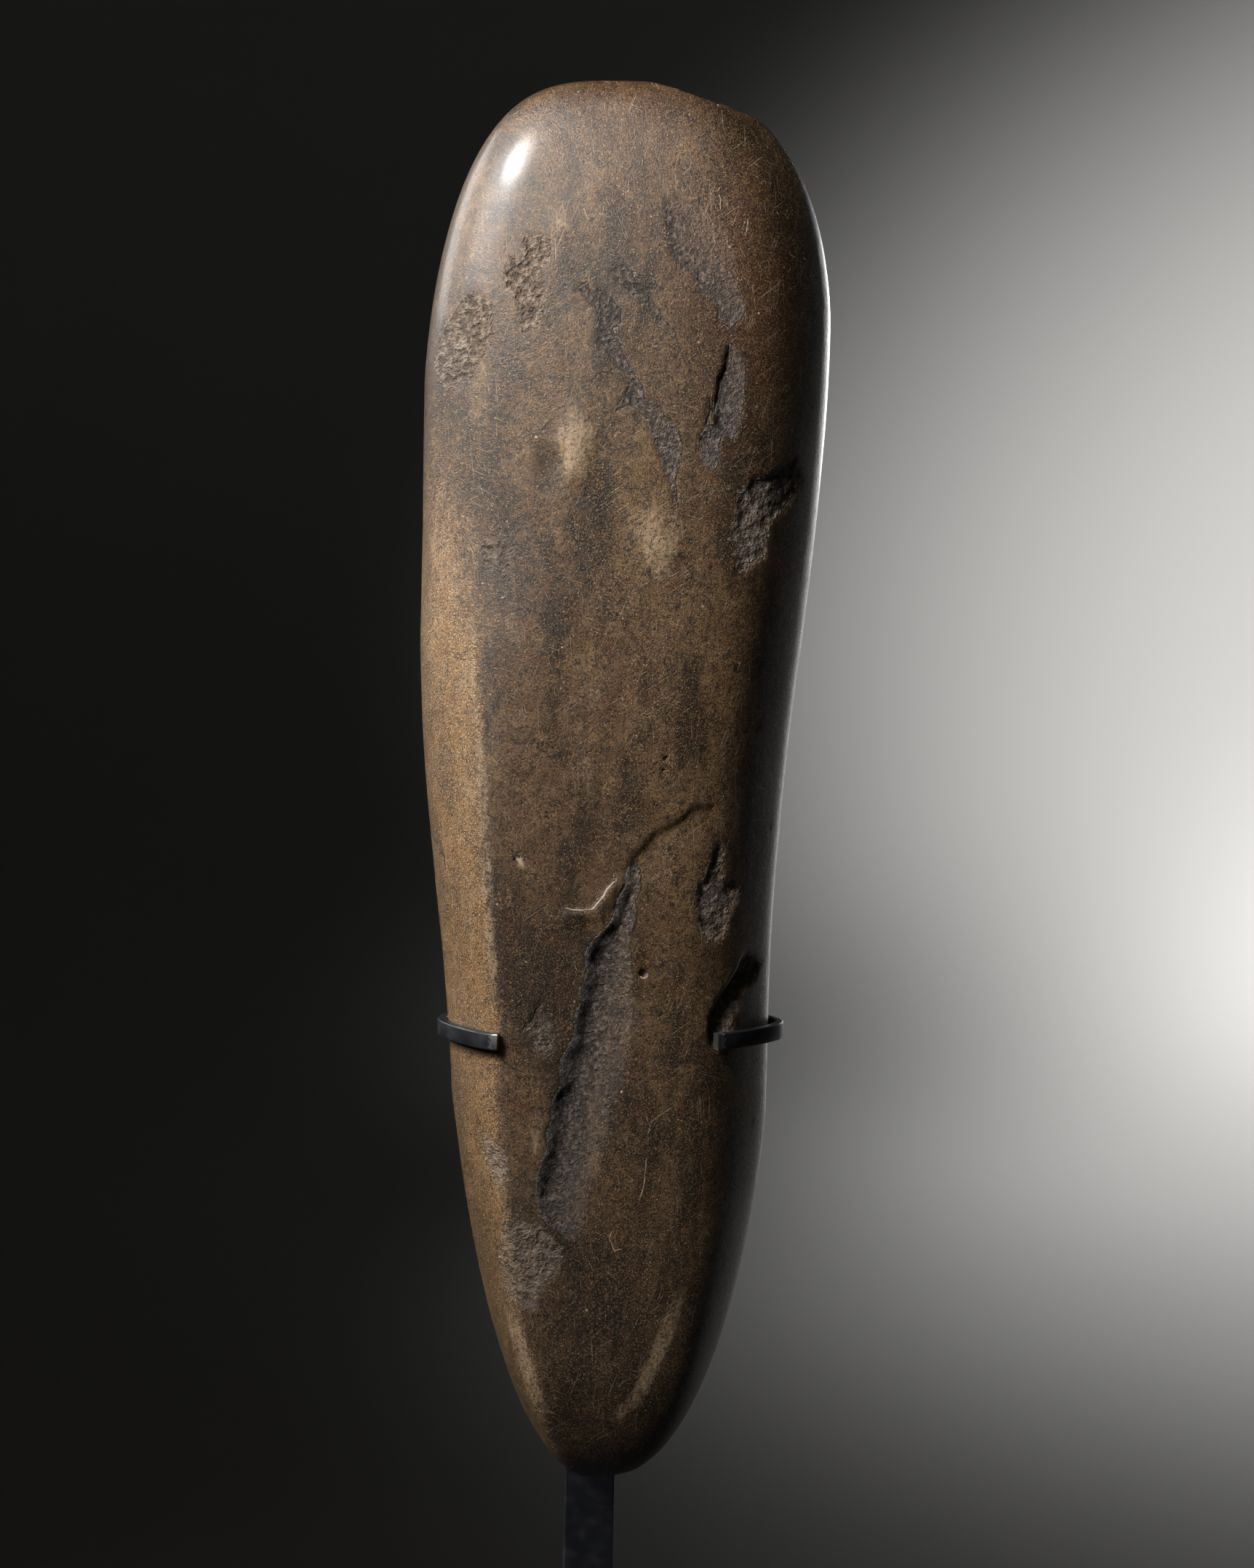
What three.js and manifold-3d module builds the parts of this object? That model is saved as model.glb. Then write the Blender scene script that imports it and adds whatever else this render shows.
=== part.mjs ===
// A ground stone axe blade held upright, tip down, in a small black display stand.
// Millimetres, +Z up, the blade's broad front face towards -Y.
// The origin is the middle of the foot's underside.
//
// Four pieces: the blade, the strap cradle that grips its lower third, the flat post behind
// it, and the steel foot that the post stands in.

import * as THREE from 'three';
import Module from 'manifold-3d';
import { mergeVertices } from 'three/addons/utils/BufferGeometryUtils.js';

const wasm = await Module();
wasm.setup();

// ---------------------------------------------------------------- driving dimensions

const LENGTH = 330; // blade, tip to crown
const TIP_HEIGHT = 70; // foot's underside to the blade's tip
const GAP = 0.3; // clearance between neighbouring pieces

// Half widths (left, right) and half thicknesses (front, back) against the height above the
// tip. Each runs from a waist to a belly, and closes at the tip and at the crown over the
// given lengths, where a larger "full" or "blunt" makes a squarer end.
const PROFILES = {
  left: {
    waist: 36.4, waistAt: 81, belly: 45.8, bellyAt: 202,
    tip: { length: 93, full: 1.2, blunt: 2.3 },
    crown: { length: 74, full: 1.77, blunt: 3.4 },
  },
  right: {
    waist: 38.3, waistAt: 121, belly: 48.7, bellyAt: 273,
    tip: { length: 90, full: 1.42, blunt: 2.48 },
    crown: { length: 61, full: 2.2, blunt: 2.86 },
  },
  front: {
    waist: 20.5, waistAt: 70, belly: 23, bellyAt: 230,
    tip: { length: 30, full: 1.6, blunt: 2.6 },
    crown: { length: 95, full: 2.2, blunt: 2.6 },
  },
  back: {
    waist: 20.5, waistAt: 70, belly: 23, bellyAt: 230,
    tip: { length: 34, full: 1.6, blunt: 2.6 },
    crown: { length: 95, full: 2.2, blunt: 2.6 },
  },
};

// The section is a rounded eight-sided figure: broad faces, narrow edges and ground bevels
// between them. Each row gives a value at the tip, the waist and the belly.
const CRISPNESS = [12, 14, 5.5]; // how sharp the section's corners are
const BEVEL_INSET = { // bevel's reach over the broad face, as a share of the half width
  frontLeft: [0.22, 0.28, 0.34],
  frontRight: [0.42, 0.31, 0.3],
  back: [0.4, 0.38, 0.36],
};
const BEVEL_DEPTH = 0.16; // flat left at the edge, as a share of the half thickness

// Flat breaks that cut a corner off, as a point on the plane and its angle from level.
const BREAKS = [
  { x: 4.7, height: LENGTH, angle: 70 }, // struck off the crown's right shoulder
  { x: 0, height: 0, angle: -72 }, // worn flat on the right of the tip
];

// Hollows pressed into the faces: centre, half width, half height and depth.
// Heights are above the tip, and side -1 is the front, +1 the back.
const HOLLOWS = [
  { side: -1, x: -3, height: 106, wide: 11, high: 40, depth: 1.3 }, // long flake scar
  { side: -1, x: 4, height: 270, wide: 15, high: 26, depth: 1.2 }, // spall near the crown
  { side: -1, x: 24.5, height: 139, wide: 6, high: 9, depth: 1.4 }, // pecked pit
  { side: -1, x: 30, height: 120, wide: 7, high: 13, depth: 4 }, // notch in the right edge
  { side: 1, x: 14, height: 215, wide: 16, high: 30, depth: 1.2 }, // flake scar, back
  { side: 1, x: -16, height: 96, wide: 12, high: 24, depth: 1 }, // flake scar, back
];

const CRADLE = {
  height: 108.2, // middle of the strap above the tip
  tall: 4, thick: 2.2,
  claw: 57.5, // degrees round from each of the blade's edges to the claw's tip
  slack: 1.1, // how far the right bend stands off the blade's edge
  slackReach: 0.55, // radians over which that bend comes back to the blade
  steps: 64,
};

const POST = { wide: 12, thick: 4, top: 182, socket: 9 }; // top above the tip, depth in foot
const FOOT = { wide: 120, deep: 110, thick: 12, corner: 3, bevel: 0.8 };

const AROUND = 46; // facets round the blade
const ALONG = 84; // facets from the tip to the crown

// ---------------------------------------------------------------- the blade's form

const smooth = (t) => THREE.MathUtils.smoothstep(t, 0, 1);

// How far an end is open at a distance from it: 0 at the very end, 1 past its length.
function rounded(distance, end) {
  const t = THREE.MathUtils.clamp(1 - distance / end.length, 0, 1);
  return (1 - t ** end.full) ** (1 / end.blunt);
}

function reach(name, height) {
  const p = PROFILES[name];
  const t = smooth((height - p.waistAt) / (p.bellyAt - p.waistAt));
  const body = THREE.MathUtils.lerp(p.waist, p.belly, t);
  return body * rounded(height, p.tip) * rounded(LENGTH - height, p.crown);
}

// A value given at the tip, the waist and the belly, at a height between them.
function blend([tip, waist, belly], height) {
  return tip + (waist - tip) * smooth((height - 10) / 90)
    + (belly - waist) * smooth((height - 140) / 90);
}

// Distance from the section's middle to its outline in a direction, before it is fitted to
// the true widths. Each side of the figure is a line at "away" along its normal.
function outlineRadius(height, directionX, directionY, size) {
  const power = blend(CRISPNESS, height);
  let sum = 0;
  const addSide = (x, y, away) => {
    const facing = (x * directionX + y * directionY) / away;
    if (facing > 0) sum += facing ** power;
  };
  addSide(1, 0, size.width);
  addSide(-1, 0, size.width);
  addSide(0, -1, size.front);
  addSide(0, 1, size.back);
  for (const x of [-1, 1]) {
    for (const y of [-1, 1]) {
      const face = y < 0 ? (x < 0 ? 'frontLeft' : 'frontRight') : 'back';
      const thickness = y < 0 ? size.front : size.back;
      const inset = blend(BEVEL_INSET[face], height) * size.width;
      const edge = BEVEL_DEPTH * thickness;
      const normal = new THREE.Vector2(x * (thickness - edge), y * inset).normalize();
      addSide(normal.x, normal.y, normal.x * x * size.width + normal.y * y * edge);
    }
  }
  return sum ** (-1 / power);
}

// The blade's outline at a height, in the direction of an angle. The angle runs evenly
// round an ellipse half as thick as wide, so points fall evenly on broad and narrow sides.
function bladePoint(height, angle) {
  if (height <= 0 || height >= LENGTH) return new THREE.Vector3(0, 0, height); // the very ends
  const left = reach('left', height);
  const right = reach('right', height);
  const size = { width: (left + right) / 2, front: reach('front', height), back: reach('back', height) };
  const direction = new THREE.Vector2(Math.cos(angle), 0.5 * Math.sin(angle)).normalize();
  const { x, y } = direction;
  const radius = outlineRadius(height, x, y, size);
  const fullX = outlineRadius(height, Math.sign(x) || 1, 0, size);
  const fullY = outlineRadius(height, 0, Math.sign(y) || 1, size);
  const thickness = y > 0 ? size.back : size.front;
  return new THREE.Vector3(
    radius * x * (size.width / fullX) + (right - left) / 2,
    radius * y * (thickness / fullY),
    height,
  );
}

function cutBreaks(point) {
  for (const { x, height, angle } of BREAKS) {
    const tilt = THREE.MathUtils.degToRad(angle);
    const normal = new THREE.Vector3(Math.cos(tilt), 0, Math.sin(tilt));
    const past = point.clone().sub(new THREE.Vector3(x, 0, height)).dot(normal);
    if (past > 0) point.addScaledVector(normal, -past);
  }
}

function pressHollows(point) {
  for (const { side, x, height, wide, high, depth } of HOLLOWS) {
    if (point.y * side <= 0) continue;
    const away = Math.hypot((point.x - x) / wide, (point.z - height) / high);
    point.y -= side * depth * (1 - smooth(away));
  }
}

function bladeGeometry() {
  const geometry = new THREE.SphereGeometry(1, AROUND, ALONG);
  const position = geometry.attributes.position;
  for (let i = 0; i < position.count; i += 1) {
    // The sphere's poles lie on its Y axis. Its latitude gives the height, crowded towards
    // both ends, and its longitude the angle.
    const up = position.getY(i);
    const height = (LENGTH * (1 + up)) / 2;
    const angle = Math.atan2(-position.getZ(i), position.getX(i));
    const point = bladePoint(height, angle);
    cutBreaks(point);
    pressHollows(point);
    position.setXYZ(i, point.x, point.y, point.z);
  }
  return closed(geometry);
}

// ---------------------------------------------------------------- the stand

// The strap in plan: an offset of the blade's outline, from the left claw's tip round the
// back to the right claw's tip. The right bend stands a little off the blade.
function strapOutline() {
  const height = CRADLE.height + CRADLE.tall / 2;
  const claw = THREE.MathUtils.degToRad(CRADLE.claw);
  const inner = [];
  const outer = [];
  for (let i = 0; i <= CRADLE.steps; i += 1) {
    const angle = THREE.MathUtils.lerp(-claw, Math.PI + claw, i / CRADLE.steps);
    const here = bladePoint(height, angle);
    const next = bladePoint(height, angle + 0.01);
    const normal = new THREE.Vector2(next.y - here.y, here.x - next.x).normalize();
    const stand = GAP + CRADLE.slack * Math.exp(-((angle / CRADLE.slackReach) ** 2));
    inner.push(new THREE.Vector2(here.x, here.y).addScaledVector(normal, stand));
    outer.push(new THREE.Vector2(here.x, here.y).addScaledVector(normal, stand + CRADLE.thick));
  }
  return new THREE.Shape([...outer, ...inner.reverse()]);
}

function cradleGeometry() {
  const geometry = new THREE.ExtrudeGeometry(strapOutline(), {
    depth: CRADLE.tall, bevelEnabled: false,
  });
  return geometry.translate(0, 0, TIP_HEIGHT + CRADLE.height - CRADLE.tall / 2);
}

// The post stands behind the strap's back.
const POST_FRONT = bladePoint(CRADLE.height + CRADLE.tall / 2, Math.PI / 2).y
  + GAP + CRADLE.thick + GAP;
const POST_BOTTOM = FOOT.thick - POST.socket + GAP;

// A flat bar with a round top end.
function postGeometry() {
  const half = POST.wide / 2;
  const shoulder = TIP_HEIGHT + POST.top - half;
  const front = new THREE.Shape();
  front.moveTo(-half, POST_BOTTOM);
  front.lineTo(half, POST_BOTTOM);
  front.lineTo(half, shoulder);
  front.absarc(0, shoulder, half, 0, Math.PI, false);
  front.closePath();
  const geometry = new THREE.ExtrudeGeometry(front, {
    depth: POST.thick, bevelEnabled: false, curveSegments: 12,
  });
  return geometry.rotateX(Math.PI / 2).translate(0, POST_FRONT + POST.thick, 0);
}

function roundedRectangle(wide, deep, corner) {
  const shape = new THREE.Shape();
  const x = wide / 2 - corner;
  const y = deep / 2 - corner;
  shape.absarc(x, y, corner, 0, Math.PI / 2, false);
  shape.absarc(-x, y, corner, Math.PI / 2, Math.PI, false);
  shape.absarc(-x, -y, corner, Math.PI, 1.5 * Math.PI, false);
  shape.absarc(x, -y, corner, 1.5 * Math.PI, 2 * Math.PI, false);
  shape.closePath();
  return shape;
}

// A plate with rounded corners and eased edges, and a blind socket for the post.
function footGeometry() {
  const { wide, deep, thick, corner, bevel } = FOOT;
  const plan = roundedRectangle(wide - 2 * bevel, deep - 2 * bevel, corner - bevel);
  const plate = new THREE.ExtrudeGeometry(plan, {
    depth: thick - 2 * bevel, bevelThickness: bevel, bevelSize: bevel, bevelSegments: 2,
    curveSegments: 6,
  }).translate(0, 0, bevel);
  const socket = new THREE.BoxGeometry(POST.wide + 2 * GAP, POST.thick + 2 * GAP, 2 * POST.socket)
    .translate(0, POST_FRONT + POST.thick / 2, thick);
  return cut(plate, socket);
}

// ---------------------------------------------------------------- solids and meshes

// A geometry reduced to shared positions, as one closed body.
function closed(geometry) {
  geometry.deleteAttribute('normal');
  geometry.deleteAttribute('uv');
  const merged = mergeVertices(geometry);
  merged.computeVertexNormals();
  return merged;
}

function solid(geometry) {
  const merged = closed(geometry);
  return new wasm.Manifold(new wasm.Mesh({
    numProp: 3,
    vertProperties: merged.attributes.position.array,
    triVerts: new Uint32Array(merged.index.array),
  }));
}

function cut(geometry, tool) {
  const mesh = solid(geometry).subtract(solid(tool)).getMesh();
  const result = new THREE.BufferGeometry();
  result.setAttribute('position', new THREE.BufferAttribute(mesh.vertProperties, 3));
  result.setIndex(new THREE.BufferAttribute(mesh.triVerts, 1));
  result.computeVertexNormals();
  return result;
}

function piece(name, geometry, finish) {
  const mesh = new THREE.Mesh(geometry, new THREE.MeshStandardMaterial(finish));
  mesh.name = name;
  return mesh;
}

const GROUND_STONE = { color: 0x6b5036, roughness: 0.42, metalness: 0 };
const BLACK_PAINT = { color: 0x1c1d20, roughness: 0.5, metalness: 0.2 };

const axe = new THREE.Group();
const stone = piece('stone', bladeGeometry(), GROUND_STONE);
stone.position.z = TIP_HEIGHT;
axe.add(stone);
axe.add(piece('cradle', cradleGeometry(), BLACK_PAINT));
axe.add(piece('post', postGeometry(), BLACK_PAINT));
axe.add(piece('foot', footGeometry(), BLACK_PAINT));

export default axe;
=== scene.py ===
"""A ground stone axe blade, tip down, in a small black display stand.

Everything is in metres in the part's own frame: +Z up, the blade's broad front face towards
-Y, the origin in the middle of the foot's underside. Sizes of the stone's form and of its
marks are written in millimetres, as a person measuring the stone would write them, with
heights taken from the blade's tip.
"""

import logging
import math
from dataclasses import dataclass, field
from enum import Enum
from itertools import product

import bpy
import numpy as np
from mathutils import Matrix, Vector


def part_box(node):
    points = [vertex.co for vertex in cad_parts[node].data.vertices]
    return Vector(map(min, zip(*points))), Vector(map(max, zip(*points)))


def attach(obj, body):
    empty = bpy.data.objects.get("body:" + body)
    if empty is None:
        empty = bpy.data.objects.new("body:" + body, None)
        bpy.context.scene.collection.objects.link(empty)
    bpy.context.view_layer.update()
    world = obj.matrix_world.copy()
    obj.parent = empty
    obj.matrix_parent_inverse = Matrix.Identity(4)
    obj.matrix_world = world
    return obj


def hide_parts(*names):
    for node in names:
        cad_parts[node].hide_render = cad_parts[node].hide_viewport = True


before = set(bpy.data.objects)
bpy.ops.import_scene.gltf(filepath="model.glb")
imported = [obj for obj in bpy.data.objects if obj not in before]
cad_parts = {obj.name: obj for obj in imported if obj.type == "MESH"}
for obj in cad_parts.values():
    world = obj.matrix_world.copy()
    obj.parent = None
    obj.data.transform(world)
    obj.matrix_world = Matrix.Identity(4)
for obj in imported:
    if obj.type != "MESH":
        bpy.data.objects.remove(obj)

log = logging.getLogger("axe")
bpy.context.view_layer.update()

MM = 0.001
# A distance in millimetres that is past the reach of every line and edge drawn on the stone.
FAR_OFF = 6.0
Array = np.ndarray
Pair = tuple[float, float]
Points = tuple[Pair, ...]
Place = tuple[float, float, float]
Node = bpy.types.Node
Tree = bpy.types.NodeTree
Piece = bpy.types.Object
Finish = bpy.types.Material

# Settings that many nodes share.
ADD = {"operation": "ADD"}
SUBTRACT = {"operation": "SUBTRACT"}
MULTIPLY = {"operation": "MULTIPLY"}
DIVIDE = {"operation": "DIVIDE"}
MAXIMUM = {"operation": "MAXIMUM"}
ABSOLUTE = {"operation": "ABSOLUTE"}
SCALE = {"operation": "SCALE"}
MULTIPLY_ADD = {"operation": "MULTIPLY_ADD"}
SOFT_STEP = {"interpolation_type": "SMOOTHSTEP"}
SEEDED = {"noise_dimensions": "4D"}
COLOURS = {"data_type": "RGBA"}
NUMBERS = {"data_type": "FLOAT"}
VECTORS = {"data_type": "FLOAT_VECTOR"}


class Side(Enum):
    """The face of the blade that a mark is on, as the sign of its outward Y."""

    FRONT = -1
    BACK = 1


class Slot(Enum):
    """The record's material slots."""

    STONE = "ground_stone"
    PAINT = "black_paint"


# ------------------------------------------------------------------ small shared tools


def linear(hex_colour: str) -> tuple[float, float, float, float]:
    """Turns an sRGB hex colour such as "#66492F" into linear RGBA.

    Args:
        hex_colour: six hex digits after a hash.

    Returns:
        Linear red, green, blue and an alpha of 1.
    """
    channels = [int(hex_colour[i:i + 2], 16) / 255 for i in (1, 3, 5)]
    return (*[c / 12.92 if c <= 0.04045 else ((c + 0.055) / 1.055) ** 2.4 for c in channels], 1.0)


def feed(tree: Tree, node: Node, links: dict) -> None:
    """Sets or links a node's inputs.

    Args:
        tree: the node's tree.
        node: the node to feed.
        links: input name or number to a plain value, to the output that feeds it, or to the
            node whose first output in use feeds it.
    """
    for key, value in links.items():
        if isinstance(value, Node):
            value = next(output for output in value.outputs if output.enabled)
        if isinstance(value, bpy.types.NodeSocket):
            tree.links.new(value, node.inputs[key])
        else:
            node.inputs[key].default_value = value


def add_node(tree: Tree, kind: str, settings: dict | None = None,
             links: dict | None = None) -> Node:
    """Adds one node with its settings and links.

    Args:
        tree: the node tree to add to.
        kind: the node's type, such as "ShaderNodeMath".
        settings: properties of the node itself.
        links: what feeds its inputs, as feed takes it.

    Returns:
        The new node.
    """
    node = tree.nodes.new(kind)
    for name, value in (settings or {}).items():
        setattr(node, name, value)
    feed(tree, node, links or {})
    return node


def smooth(value: Array, low: float = 0.0, high: float = 1.0) -> Array:
    """A soft step from 0 at low to 1 at high."""
    t = np.clip((value - low) / (high - low), 0.0, 1.0)
    return t * t * (3.0 - 2.0 * t)


def noise(points: Array, cell: float, seed: int) -> Array:
    """Smooth random values that change over about one cell.

    The large numbers mix a lattice point's three whole coordinates into one random value.

    Args:
        points: N by 3 positions.
        cell: the lattice spacing, in the unit of the points.
        seed: picks the pattern.

    Returns:
        N values from -1 to 1.
    """
    scaled = points / cell + seed * 17.317
    base = np.floor(scaled).astype(np.int64)
    part = scaled - base
    part = part * part * (3.0 - 2.0 * part)
    total = np.zeros(len(points))
    for corner in product((0, 1), repeat=3):
        lattice = base + np.array(corner)
        mixed = lattice[:, 0] * 374761393 + lattice[:, 1] * 668265263 + lattice[:, 2] * 974634777
        mixed = (mixed ^ (mixed >> 13)) * 1274126177
        value = ((mixed ^ (mixed >> 16)) & 0xFFFF) / 32767.5 - 1.0
        total += value * np.prod(np.where(corner, part, 1.0 - part), axis=1)
    return total


def fractal(points: Array, cell: float, seed: int, octaves: int = 3) -> Array:
    """Noise summed over halving cells, from about -1 to 1."""
    layers = [noise(points, cell / 2**k, seed + k) / 2**k for k in range(octaves)]
    return sum(layers) / (2.0 - 0.5 ** (octaves - 1))


def oval_distance(x: Array, h: Array, middle: Pair, half: Pair) -> Array:
    """How far points lie from an oval's middle, 1 on its edge, by its middle and half sizes."""
    return np.hypot((x - middle[0]) / half[0], (h - middle[1]) / half[1])


def outline_distance(x: Array, h: Array, outline: Points) -> Array:
    """How far points lie inside a closed outline.

    Args:
        x: positions across.
        h: positions up.
        outline: its corners in order.

    Returns:
        Distances, positive inside and negative outside.
    """
    nearest = np.full(x.shape, np.inf)
    inside = np.zeros(x.shape, bool)
    for (ax, ah), (bx, bh) in zip(outline, outline[1:] + outline[:1]):
        ex, eh = bx - ax, bh - ah
        along = np.clip(((x - ax) * ex + (h - ah) * eh) / (ex * ex + eh * eh), 0.0, 1.0)
        nearest = np.minimum(nearest, np.hypot(x - ax - along * ex, h - ah - along * eh))
        crosses = (ah > h) != (bh > h)
        inside ^= crosses & (x < ax + (h - ah) * ex / (eh if eh else 1e-9))
    return np.where(inside, nearest, -nearest)


def path_distance(x: Array, h: Array, path: Points) -> tuple[Array, Array, Array]:
    """How points lie to an open path.

    Args:
        x: positions across.
        h: positions up.
        path: its points in order.

    Returns:
        The distance, positive to the path's right; the plain distance to the path with its
        ends; and the share of the path's length at the nearest point.
    """
    best = np.full(x.shape, np.inf)
    signed = np.zeros(x.shape)
    share = np.zeros(x.shape)
    lengths = [math.dist(a, b) for a, b in zip(path, path[1:])]
    done = 0.0
    for (ax, ah), (bx, bh), length in zip(path, path[1:], lengths):
        ex, eh = (bx - ax) / length, (bh - ah) / length
        along = np.clip((x - ax) * ex + (h - ah) * eh, 0.0, length)
        away = np.hypot(x - ax - along * ex, h - ah - along * eh)
        side = (x - ax) * eh - (h - ah) * ex
        nearer = away < best
        best = np.where(nearer, away, best)
        signed = np.where(nearer, np.copysign(away, side), signed)
        share = np.where(nearer, (done + along) / sum(lengths), share)
        done += length
    return signed, best, share


def new_object(name: str, vertices: Array, edges: list, faces: list) -> Piece:
    """Makes an object at the origin and puts it in the scene.

    Args:
        name: the object's name.
        vertices: N by 3 positions in metres.
        edges: pairs of vertex numbers, where there are no faces.
        faces: vertex numbers of each face.

    Returns:
        The new object, shaded smooth.
    """
    mesh = bpy.data.meshes.new(name)
    mesh.from_pydata(vertices.tolist(), edges, faces)
    mesh.update()
    mesh.shade_smooth()
    piece = bpy.data.objects.new(name, mesh)
    bpy.context.scene.collection.objects.link(piece)
    return piece


def settle(piece: Piece) -> Piece:
    """Turns an object's modifiers into its plain mesh and removes them.

    Args:
        piece: the object to change.

    Returns:
        The same object.
    """
    graph = bpy.context.evaluated_depsgraph_get()
    result = bpy.data.meshes.new_from_object(piece.evaluated_get(graph))
    piece.modifiers.clear()
    piece.data = result
    return piece


def bevel(piece: Piece, name: str, width: float, segments: int, limit: str) -> None:
    """Adds a bevel to an object.

    Args:
        piece: the object to change.
        name: the modifier's name.
        width: how far it cuts, in millimetres.
        segments: how many faces it takes.
        limit: which edges it takes, ANGLE or WEIGHT.
    """
    cut = piece.modifiers.new(name, "BEVEL")
    cut.width, cut.segments, cut.limit_method = width * MM, segments, limit


def run_nodes(piece: Piece, tree: Tree, values: dict) -> Piece:
    """Runs a Geometry Nodes tree on an object and keeps the result as its plain mesh.

    Args:
        piece: the object to change.
        tree: the Geometry Nodes tree.
        values: input name to value.

    Returns:
        The same object.
    """
    modifier = piece.modifiers.new(tree.name, "NODES")
    modifier.node_group = tree
    for item in tree.interface.items_tree:
        if item.in_out == "INPUT" and item.name in values:
            modifier[item.identifier] = values[item.name]
    return settle(piece)


def new_geometry_tree(name: str, sizes: tuple[str, ...]) -> tuple[Tree, Node]:
    """A Geometry Nodes tree with a geometry, named sizes, a seed and a material going in.

    Args:
        name: the tree's name.
        sizes: the names of its number inputs.

    Returns:
        The tree and its input node.
    """
    tree = bpy.data.node_groups.new(name, "GeometryNodeTree")
    kinds = {"Geometry": "Geometry"} | dict.fromkeys(sizes, "Float") | {
        "Seed": "Int", "Material": "Material"}
    for label, kind in kinds.items():
        tree.interface.new_socket(label, in_out="INPUT", socket_type=f"NodeSocket{kind}")
    tree.interface.new_socket("Geometry", in_out="OUTPUT", socket_type="NodeSocketGeometry")
    return tree, add_node(tree, "NodeGroupInput")


def end_geometry_tree(tree: Tree, start: Node, shape: Node, offset: Node) -> Tree:
    """Moves a tree's shape by an offset, makes it real, dresses it and puts it out.

    Args:
        tree: the tree to finish.
        start: its input node.
        shape: the node that gives the shape.
        offset: the node that gives each point's move.

    Returns:
        The same tree.
    """
    moved = add_node(tree, "GeometryNodeSetPosition", links={"Geometry": shape, "Offset": offset})
    real = add_node(tree, "GeometryNodeRealizeInstances", links={0: moved})
    dressed = add_node(tree, "GeometryNodeSetMaterial", links={
        "Geometry": real, "Material": start.outputs["Material"]})
    add_node(tree, "NodeGroupOutput", links={0: dressed})
    return tree


def new_material(name: str, slot: Slot) -> tuple[Finish, Tree, Node, Node]:
    """A node material with its surface shader, on the piece's own millimetres.

    Args:
        name: what the real finish is.
        slot: the record's slot that it stands for.

    Returns:
        The material, its node tree, its Principled BSDF node, and the node that gives the
        place on the piece in millimetres.
    """
    material = bpy.data.materials.new(name)
    material.use_nodes = True
    material["slot"] = slot.value
    tree = material.node_tree
    tree.nodes.clear()
    shader = add_node(tree, "ShaderNodeBsdfPrincipled")
    add_node(tree, "ShaderNodeOutputMaterial", links={"Surface": shader})
    place = add_node(tree, "ShaderNodeTexCoord").outputs["Object"]
    mm = add_node(tree, "ShaderNodeVectorMath", SCALE, {0: place, "Scale": 1.0 / MM})
    return material, tree, shader, mm


# ------------------------------------------------------------------ marks on the blade


class Face:
    """One face of the blade while it is marked: where its points are and what they carry.

    Attributes:
        x: places across, in millimetres.
        h: heights above the tip.
        drop: how deep each point is pressed in.
        scar: how far it lies inside a flake scar.
        peck: how far it lies inside a pecked patch.
        rough: how raw it is there, from 0 to 1.
        lines: for dark lines and for bright ones, the distance across and the half width.
        stain: how much darker it is coloured.
        pale: how pale it is worn.
    """

    def __init__(self, x: Array, h: Array) -> None:
        """Starts a face without marks.

        Args:
            x: places across.
            h: heights above the tip.
        """
        self.x, self.h = x, h
        self.drop, self.rough, self.stain, self.pale = (np.zeros(len(x)) for _ in range(4))
        self.scar, self.peck = (np.full(len(x), -FAR_OFF) for _ in range(2))
        self.lines = [[np.full(len(x), FAR_OFF), np.zeros(len(x))] for _ in range(2)]


@dataclass(frozen=True)
class Flake:
    """A scar where a thin flake has sprung off: dark, rough, with one steep wall.

    Attributes:
        outline: its edge.
        depth: the floor's depth at the steep wall.
        deep: a point on the steep side.
        shallow: the point towards which the floor rises to nothing.
        rough: how rough and dark the floor is, from 0 to 1.
        far: how much of that roughness is left at the shallow end.
        wall: the run of the steep wall.
    """

    outline: Points
    depth: float
    deep: Pair
    shallow: Pair
    rough: float = 1.0
    far: float = 0.25
    wall: float = 0.9

    def press(self, face: Face) -> None:
        """Presses the scar into a face.

        Args:
            face: the face to mark.
        """
        inside = outline_distance(face.x, face.h, self.outline)
        run = np.array(self.shallow) - np.array(self.deep)
        share = ((face.x - self.deep[0]) * run[0] + (face.h - self.deep[1]) * run[1]) / (run @ run)
        rise = 1.0 - smooth(share, 0.0, 1.0)
        face.drop = np.maximum(face.drop, self.depth * rise * smooth(inside, -0.25, self.wall))
        nearer = inside > face.scar
        face.scar = np.where(nearer, inside, face.scar)
        left = self.rough * (self.far + (1.0 - self.far) * rise)
        face.rough = np.where(nearer, left, face.rough)


@dataclass(frozen=True)
class Pecking:
    """A patch of small hammer blows that no grinding has smoothed.

    Attributes:
        outline: its edge.
        depth: how far it lies below the polish.
        fresh: how pale and sharp its blows still are, from 0 to 1.
    """

    outline: Points
    depth: float = 0.45
    fresh: float = 0.75

    def press(self, face: Face) -> None:
        """Presses the patch into a face.

        Args:
            face: the face to mark.
        """
        inside = outline_distance(face.x, face.h, self.outline)
        face.drop = np.maximum(face.drop, self.depth * smooth(inside, -0.6, 1.6))
        face.peck = np.maximum(face.peck, inside)
        face.rough = np.where(inside > -1.2, self.fresh, face.rough)


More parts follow.
